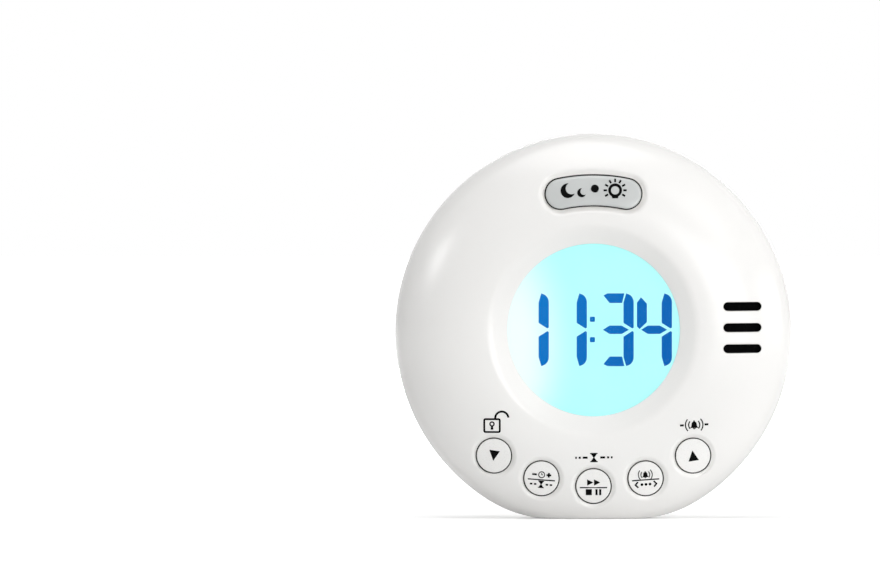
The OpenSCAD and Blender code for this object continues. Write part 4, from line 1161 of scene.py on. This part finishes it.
def print_keys(m):
    size = 1.3
    for name, s in (("down", -size), ("up", size)):
        print_key(m, name, [polygon((-size, -s), (size, -s), (0, s))])
    # The other three have a rule between an upper and a lower row
    upper, lower = 0.92, -1.5
    rule = [bar(-3.35, -0.36, 3.35, -0.36, 0.3)]
    # Set a clock, set a timer
    minus = bar(-2.35, upper, -1.2, upper, 0.42)
    plus = [bar(1.2, upper, 2.35, upper, 0.42), bar(1.775, upper - 0.57, 1.775, upper + 0.57, 0.42)]
    steps = [bar(side * a, lower, side * b, lower, 0.42)
             for side in (-1, 1) for a, b in ((1.15, 1.75), (2.15, 2.75))]
    face, glass = moved(clock_face(), 0, upper, 1.7), moved(hourglass(), 0, lower, 1.75)
    print_key(m, "set", rule + face + [minus] + plus + glass + steps)
    # Start, stop
    play = [polygon((x - 0.72, upper - 0.78), (x + 0.82, upper), (x - 0.72, upper + 0.78))
            for x in (-0.85, 0.85)]
    foot, head = lower - 0.75, lower + 0.75
    square = polygon((-1.9, foot), (-0.4, foot), (-0.4, head), (-1.9, head))
    pause = [bar(x, foot, x, head, 0.52) for x in (0.75, 1.65)]
    print_key(m, "start", rule + play + [square] + pause)
    # Set the alarm, select
    alarm = moved(bell(), 0, 0, 1.75) + sound(-1, 0.66, 0.38, 1.65) + sound(1, 0.66, 0.38, 1.65)
    alarm = moved(alarm, 0, upper)
    chevrons = [bar(side * 2.7, lower - 0.1 * up, side * 1.95, lower + 0.72 * up, 0.38)
                for side in (-1, 1) for up in (1, -1)]
    dots = [dot(x, lower, 0.34, 16) for x in (-1, 0, 1)]
    print_key(m, "select", rule + alarm + chevrons + dots)


def print_snooze(m):
    shift = 2.3  # the photo shows the button this many pixels left of the casing's middle
    mx, my = from_px(565.0 + shift, 190.4)
    dx, dy = from_px(592.0 + shift, 188.3)
    bx, by = from_px(612.2 + shift, 190.0)
    high, low = by - 1.3, by - 1.95
    screw_cap = polygon((bx - 0.85, high), (bx + 0.85, high), (bx + 0.72, low), (bx - 0.72, low))
    shapes = [crescent(mx, my, 1.8), crescent(mx + 3.4, my - 0.5, 1.1), dot(dx, dy, 0.98),
              ring(bx, by, 1.7, 1.02), screw_cap]
    for angle in range(-30, 211, 30):
        c, s = math.cos(math.radians(angle)), math.sin(math.radians(angle))
        shapes.append(bar(bx + 2.0 * c, by + 2.0 * s, bx + 2.85 * c, by + 2.85 * s, 0.46))
    ink_piece("snooze_print", shapes, snooze_height, m["ink"], "snooze_key")


# ---------------------------------------------------------------- display

# The segments of a digit, from its right edge and its middle line
SHOULDER = polar(1, np.radians(np.linspace(4, 78, 8))) * (1.9, 2.15) + (-1.9, 6.73)
UPPER_RIGHT = np.vstack((((-2.52, 1.70), (-0.35, 0.32), (0.0, 0.55)), SHOULDER,
                         ((-1.85, 8.98), (-2.52, 6.73))))
UPPER_LEFT = np.array(((-8.63, 0.84), (-7.97, 0.15), (-6.16, 1.90), (-6.16, 6.46), (-7.64, 8.01),
                       (-8.63, 6.66)))
TOP = np.array(((-5.94, 6.61), (-2.86, 6.61), (-2.30, 8.98), (-6.41, 8.98), (-7.47, 8.48)))
MIDDLE = np.array(((-7.60, 0.0), (-5.94, -1.03), (-2.96, -1.03), (-1.18, 0.0), (-2.96, 1.03),
                   (-5.94, 1.03)))
LOWER_RIGHT, BOTTOM = ((loop * (1, -1))[::-1] for loop in (UPPER_RIGHT, TOP))
DIGITS = {
    "1": (UPPER_RIGHT, LOWER_RIGHT),
    "3": (UPPER_RIGHT, LOWER_RIGHT, TOP, MIDDLE, BOTTOM),
    "4": (UPPER_RIGHT, LOWER_RIGHT, UPPER_LEFT, MIDDLE),
}


def make_digits(m):
    """11:34, in dark segments over the lit film."""
    mid_x, mid_y = from_px(594, 329.7)
    shapes = []
    for right, number in zip((-11.29, -1.90, 9.64, 19.06), "1134"):
        shapes += moved([[s] for s in DIGITS[number]], right + mid_x, mid_y)
    colon = 1.26
    for pixel_y in (319.2, 339.6):
        x, y = from_px(591.8, pixel_y)
        shapes.append([rounded_box(x, y, colon, colon, 0.25, 5, 3)()])
    ink_piece("display_digits", shapes, film_plane, m["segments"], "casing", 0.03, 1.5)


def window_piece(m):
    """Clear window with a flange behind, a rolled edge and a slightly crowned face."""
    face_r, face_z, crown, fillet = WINDOW_R - 0.15, DISH_Z - 0.05, 0.03, 0.2
    flange_r, flange_z, back_z, bevel = 23.0, 11.4, 10.6, 0.1
    face = np.linspace(0.01, face_r - fillet, 12)
    profile = [(r, face_z - crown * (r / face_r) ** 2) for r in face]
    profile += quarter(face_r, face_z - crown, fillet, 5, -1)[1:]
    profile += [(face_r, flange_z), (flange_r - bevel, flange_z), (flange_r, flange_z - bevel),
                (flange_r, back_z + bevel), (flange_r - bevel, back_z), (0.01, back_z)]
    build = Builder()
    build.turned(profile, ROUND, 0, DISH_Y)
    made = build.piece("window_lens", m["window"], "casing")
    close_ends(made)
    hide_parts("display_window")


def film_margin(m):
    """Margin of the lit film behind the window's flange, which shows only at a slant."""
    inner, outer = WINDOW_R - 0.4, 22.9
    front_z, back_z = FILM_Z - 0.02, FILM_Z - 0.15
    build = Builder()
    build.turned([(inner, back_z), (inner, front_z), (outer, front_z), (outer, back_z),
                  (inner, back_z)], ROUND, 0, DISH_Y)
    made = build.piece("film_margin", m["front_film"], "casing")
    close_ends(made)


# ---------------------------------------------------------------- repeated hardware


def new_group(name, kinds):
    """An empty Geometry Nodes tree, the sockets of its named inputs, and its output node."""
    group = bpy.data.node_groups.new(name, "GeometryNodeTree")
    group.interface.new_socket("Geometry", in_out="OUTPUT", socket_type="NodeSocketGeometry")
    for socket, kind in kinds.items():
        group.interface.new_socket(socket, in_out="INPUT", socket_type="NodeSocket" + kind)
    return group, group.nodes.new("NodeGroupInput").outputs, group.nodes.new("NodeGroupOutput")


def end_group(group, shape, finish, out):
    """Ends a tree with real geometry in its finish."""
    real = add(group, "GeometryNodeRealizeInstances", {"Geometry": shape})
    inputs = {"Geometry": real.outputs["Geometry"], "Material": finish}
    coated = add(group, "GeometryNodeSetMaterial", inputs)
    group.links.new(coated.outputs["Geometry"], out.inputs["Geometry"])


def evaluated_mesh(source):
    """A plain mesh of an object with its modifiers applied."""
    graph = bpy.context.evaluated_depsgraph_get()
    return bpy.data.meshes.new_from_object(source.evaluated_get(graph))


def baked(name, group, values, place, body, nodes):
    """A plain mesh of a tree's result, put in its place, riding on a body."""
    holder = linked(name + "_maker", bpy.data.meshes.new(name + "_maker"))
    modifier = holder.modifiers.new("tree", "NODES")
    modifier.node_group = group
    for item in group.interface.items_tree:
        if item.item_type == "SOCKET" and item.in_out == "INPUT":
            modifier[item.identifier] = values[item.name]
    holder.update_tag()
    mesh = evaluated_mesh(holder)
    mesh.name = name
    bpy.data.objects.remove(holder)
    mesh.transform(place)
    made = linked(name, mesh)
    for face in mesh.polygons:
        face.use_smooth = True
    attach(made, body)
    if nodes:
        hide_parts(*nodes)


def face_matrix():
    """Face frame, in millimetres, to the model's frame, in metres."""
    turn = Matrix(((1, 0, 0, 0), (0, 0, -1, 0), (0, 1, 0, STAND_H), (0, 0, 0, 1)))
    return Matrix.Scale(MM, 4) @ turn


def screw_prototype(material):
    """Pan-head screw with a cross recess, its head towards -z, as the casing's screws lie."""
    thread_r, pitch, depth = 1.1, 0.8, 0.18
    profile = [(0.01, -SCREW_HEAD_H)] + quarter(SCREW_HEAD_R, -SCREW_HEAD_H, 0.8, 8, 1)
    profile += [(SCREW_HEAD_R, 0), (thread_r, 0.02)]
    for i in range(14):
        profile += [(thread_r - depth, 0.4 + i * pitch), (thread_r, 0.4 + (i + 0.5) * pitch)]
    profile += [(0.9, 12.2), (0.01, 13.0)]
    build = Builder()
    build.turned(profile, 40, outward=False)
    mesh = bpy.data.meshes.new("screw")
    mesh.from_pydata([tuple(p) for p in np.vstack(build.points)], [], build.faces)
    screw = linked("screw", mesh)
    shape = bmesh.new()
    shape.from_mesh(mesh)
    tiny = [v for v in shape.verts if math.hypot(v.co.x, v.co.y) < 0.02]
    bmesh.ops.remove_doubles(shape, verts=tiny, dist=0.03)
    bmesh.ops.recalc_face_normals(shape, faces=shape.faces)
    shape.to_mesh(mesh)
    shape.clear()
    for x, y in ((2.6, 0.5), (0.5, 2.6)):
        cube = bmesh.ops.create_cube(shape, size=1)["verts"]
        bmesh.ops.scale(shape, vec=(x, y, 1.6), verts=cube)
        bmesh.ops.translate(shape, vec=(0, 0, -SCREW_HEAD_H), verts=cube)
    cutter = linked("cross", bpy.data.meshes.new("cross"))
    shape.to_mesh(cutter.data)
    shape.free()
    cut = screw.modifiers.new("cross", "BOOLEAN")
    cut.object = cutter
    cut.use_self = True
    cut.operation = "DIFFERENCE"
    mesh.materials.append(material)
    finished = evaluated_mesh(screw)
    screw.modifiers.clear()
    screw.data = finished
    bpy.data.objects.remove(cutter)
    return screw


def make_screws(m):
    """The four casing screws: one shape, instanced on points round the casing."""
    screw = screw_prototype(m["steel"])
    points = bpy.data.meshes.new("screw_points")
    points.from_pydata([(x, y, SCREW_HEAD_Z) for x, y in SCREW_PLACES], [], [])
    spots = linked("screw_points", points)
    group, given, out = new_group(
        "screws_on_points", {"Screw": "Object", "Places": "Object", "Finish": "Material"}
    )
    shape, at = (add(group, "GeometryNodeObjectInfo", {"Object": given[name]}).outputs["Geometry"]
                 for name in ("Screw", "Places"))
    copies = add(group, "GeometryNodeInstanceOnPoints", {"Points": at, "Instance": shape})
    end_group(group, copies.outputs["Instances"], given["Finish"], out)
    baked("casing_screws", group, {"Screw": screw, "Places": spots, "Finish": m["steel"]},
          face_matrix(), "casing", ["case_screws"])
    bpy.data.objects.remove(screw)
    bpy.data.objects.remove(spots)


def make_springs(m):
    """Two conical battery springs, each a round wire along a spiral."""
    sizes = {"Turns": 4.0, "Wide radius": 3.6, "Narrow radius": 2.4, "Rise": 4.9,
             "Wire radius": 0.3}
    kinds = dict.fromkeys(sizes, "Float")
    group, given, out = new_group("coil_spring", {**kinds, "Finish": "Material"})
    spiral = add(group, "GeometryNodeCurveSpiral", {
        "Resolution": 28, "Rotations": given["Turns"], "Start Radius": given["Wide radius"],
        "End Radius": given["Narrow radius"], "Height": given["Rise"]})
    section = add(group, "GeometryNodeCurvePrimitiveCircle",
                  {"Resolution": 10, "Radius": given["Wire radius"]})
    wire = add(group, "GeometryNodeCurveToMesh", {
        "Curve": spiral.outputs["Curve"], "Profile Curve": section.outputs["Curve"],
        "Fill Caps": True})
    end_group(group, wire.outputs["Mesh"], given["Finish"], out)
    for side, end in ((-1, "lower"), (1, "upper")):
        # The spring's axis lies along x, and it rises from the plate towards the cell
        turn = Matrix.Rotation(math.radians(-90 * side), 4, "Y")
        place = (side * (CONTACT_X - 0.3), DOOR_Y + side * CELL_PITCH / 2, CELL_Z)
        baked(f"battery_spring_{end}", group, {**sizes, "Finish": m["contact"]},
              face_matrix() @ Matrix.Translation(place) @ turn, "casing",
              ["battery_springs"])


def make_cells(m):
    """Two dry cells with rolled edges and a printed sleeve."""
    nub_r, nub_l, edge = 1.9, 0.8, 0.45
    nub_x = CONTACT_X - DIMPLE_H
    profile = [(0.01, 0), (nub_r - 0.2, 0), (nub_r, 0.2), (nub_r, nub_l - 0.1),
               (nub_r + 0.1, nub_l)]
    profile += quarter(CELL_R, nub_l, edge, 6, 1) + quarter(CELL_R, CELL_L, edge, 6, -1)[::-1]
    profile += [(2.0, CELL_L), (1.9, CELL_L - 0.06), (0.01, CELL_L - 0.06)]
    # The nub of the upper cell points left, and that of the lower cell right
    for side, end, node in ((1, "upper", "battery_1"), (-1, "lower", "battery_2")):
        build = Builder()
        build.turned(profile, 64, outward=False)
        x, y, z = np.vstack(build.points).T
        y_mid = DOOR_Y + side * CELL_PITCH / 2
        build.points = [np.column_stack((side * (z - nub_x), y_mid + y, CELL_Z - side * x))]
        made = build.piece(f"dry_cell_{end}", m["cell"], "casing")
        close_ends(made)
        share = made.data.attributes.new("along", "FLOAT", "POINT")
        x = np.array([v.co.x for v in made.data.vertices]) / MM
        share.data.foreach_set("value", (np.abs(x + side * nub_x) / CELL_L).astype(np.float32))
        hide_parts(node)


# ---------------------------------------------------------------- carried-over nodes

NODE_FINISH = {
    "seal": ["window_seal"],
    "lcd_glass": ["lcd_cell"],
    "front_film": ["front_film"],
    "diffuser": ["diffuser_film", "light_guide"],
    "white_film": ["reflector_sheet"],
    "holder": ["lcd_holder"],
    "elastomer": ["zebra_strip"],
    "led": ["backlight_leds"],
    "board": ["main_board"],
    "steel": ["board_screws", "switch_covers", "clamp_screws", "motor_shaft", "speaker_frame"],
    "epoxy": ["controller_blob"],
    "can": ["crystal", "motor_can", "motor_clamp"],
    "capacitor": ["capacitors"],
    "chip": ["chip_parts"],
    "black_plastic": ["switch_housings", "motor_end_cap"],
    "plunger": [f"{name}_plunger" for name in (*KEYS, "snooze")],
    "magnet": ["speaker_magnet", "motor_magnets"],
    "cone": ["speaker_cone"],
    "armature": ["motor_armature"],
    "brass": ["eccentric_weight"],
    "foam": ["motor_pad"],
    "contact": ["contact_plus", "contact_minus", "contact_link"],
    "red_lead": ["motor_leads", "battery_leads"],
    "black_lead": ["speaker_leads"],
}


def finish_nodes(m):
    for finish, names in NODE_FINISH.items():
        for name in names:
            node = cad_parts[name]
            node.data.materials.clear()
            node.data.materials.append(m[finish])


# ---------------------------------------------------------------- stage

# Each lamp: its direction from the clock, its distance and size in metres, and its power
LAMPS = {
    "front_right": ((0.5, -0.87, 0.0), 1.3, 0.9, 13.9),
    "overhead": ((-0.08, -0.08, 0.97), 1.1, 0.8, 6.0),
    "right": ((1.0, -0.12, -0.02), 1.0, 0.6, 3.3),
    "left": ((-0.86, -0.35, 0.39), 0.9, 0.2, 1.1),
    "high_right": ((0.6, -0.55, 0.58), 1.2, 0.5, 1.5),
    "back": ((0.05, 1.0, 0.02), 1.3, 0.4, 7.0),
}


def seen_by(tree, first, *others):
    """1 for the kinds of light path that are named."""
    path = add(tree, "ShaderNodeLightPath").outputs
    seen = path[f"Is {first} Ray"]
    for ray in others:
        seen = maths(tree, "MAXIMUM", seen, path[f"Is {ray} Ray"])
    return seen


def face_towards(made, place, target):
    made.location = place
    made.rotation_euler = (target - made.location).to_track_quat("-Z", "Y").to_euler()


def make_floor():
    """Pale floor. Its glow seen by the camera is weaker near the clock, so it keeps its shadow
    there and is also painted a little darker all round the clock; further off it runs into the
    white surroundings."""
    reach = 3.0
    corners = [(x * reach, y * reach, 0) for x, y in ((-1, -1), (1, -1), (1, 1), (-1, 1))]
    floor = bpy.data.meshes.new("floor")
    floor.from_pydata(corners, [], [(0, 1, 2, 3)])
    ground = linked("floor", floor)
    made, tree, shader = finish_material(
        "matt_white_floor",
        Roughness=0.9,
        Base_Color=(0.89, 0.89, 0.89, 1),
        Emission_Color=(1, 1, 1, 1),
    )
    away = add(tree, "ShaderNodeVectorMath", {0: located(tree)}, operation="LENGTH")
    # Painted shade: the camera-seen glow is weaker near the clock
    ramp = {"From Min": 0.1, "From Max": 0.5, "To Min": 0.3, "To Max": 1.0}
    glow = mapped(tree, away.outputs["Value"], ramp, interpolation_type="SMOOTHSTEP")
    seen = seen_by(tree, "Camera", "Glossy")
    feed(tree, shader, Emission_Strength=maths(tree, "MULTIPLY", seen, glow))
    floor.materials.append(made)


def make_stage():
    """Floor, white surroundings, soft studio light, and the camera."""
    scene = bpy.context.scene
    make_floor()
    scene.world = bpy.data.worlds.new("studio")
    scene.world.use_nodes = True
    tree = scene.world.node_tree
    background = tree.nodes["Background"]
    background.inputs["Color"].default_value = (1, 1, 1, 1)
    seen = seen_by(tree, "Camera", "Transmission", "Glossy")
    feed(tree, background, Strength=mapped(tree, seen, {"To Min": 0.14, "To Max": 1.0}))

    middle = Vector((0, 0, STAND_H * MM))
    for name, (direction, away, size, power) in LAMPS.items():
        lamp = bpy.data.lights.new(name, "AREA")
        lamp.size = size
        lamp.energy = power
        face_towards(linked(name, lamp), middle + Vector(direction).normalized() * away, middle)

    camera = bpy.data.cameras.new("camera")
    distance, tilt = 4.0, math.radians(1.5)
    camera.sensor_width = 36
    camera.lens = camera.sensor_width * distance / (PHOTO_W * MM_PER_PX * MM)
    # The last 0.6 pixels line the picture up with the photo
    camera.shift_x = (PHOTO_W / 2 - CENTRE_PX[0] - 0.6) / PHOTO_W
    camera.shift_y = (CENTRE_PX[1] - PHOTO_H / 2) / PHOTO_W
    front = middle - Vector((0, 10 * MM, 0))
    scene.camera = linked("camera", camera)
    sight = Vector((0, -math.cos(tilt), math.sin(tilt)))
    face_towards(scene.camera, front + sight * distance, front)
    scene.view_settings.view_transform = "Standard"


# ---------------------------------------------------------------- everything

materials = make_materials()
finish_nodes(materials)
for make in (front_piece, rear_piece, door_piece, make_buttons, cloth_piece, gap_shade_rings,
             window_piece, film_margin, make_digits, print_legends, print_keys, print_snooze,
             make_screws, make_springs, make_cells):
    make(materials)
make_stage()
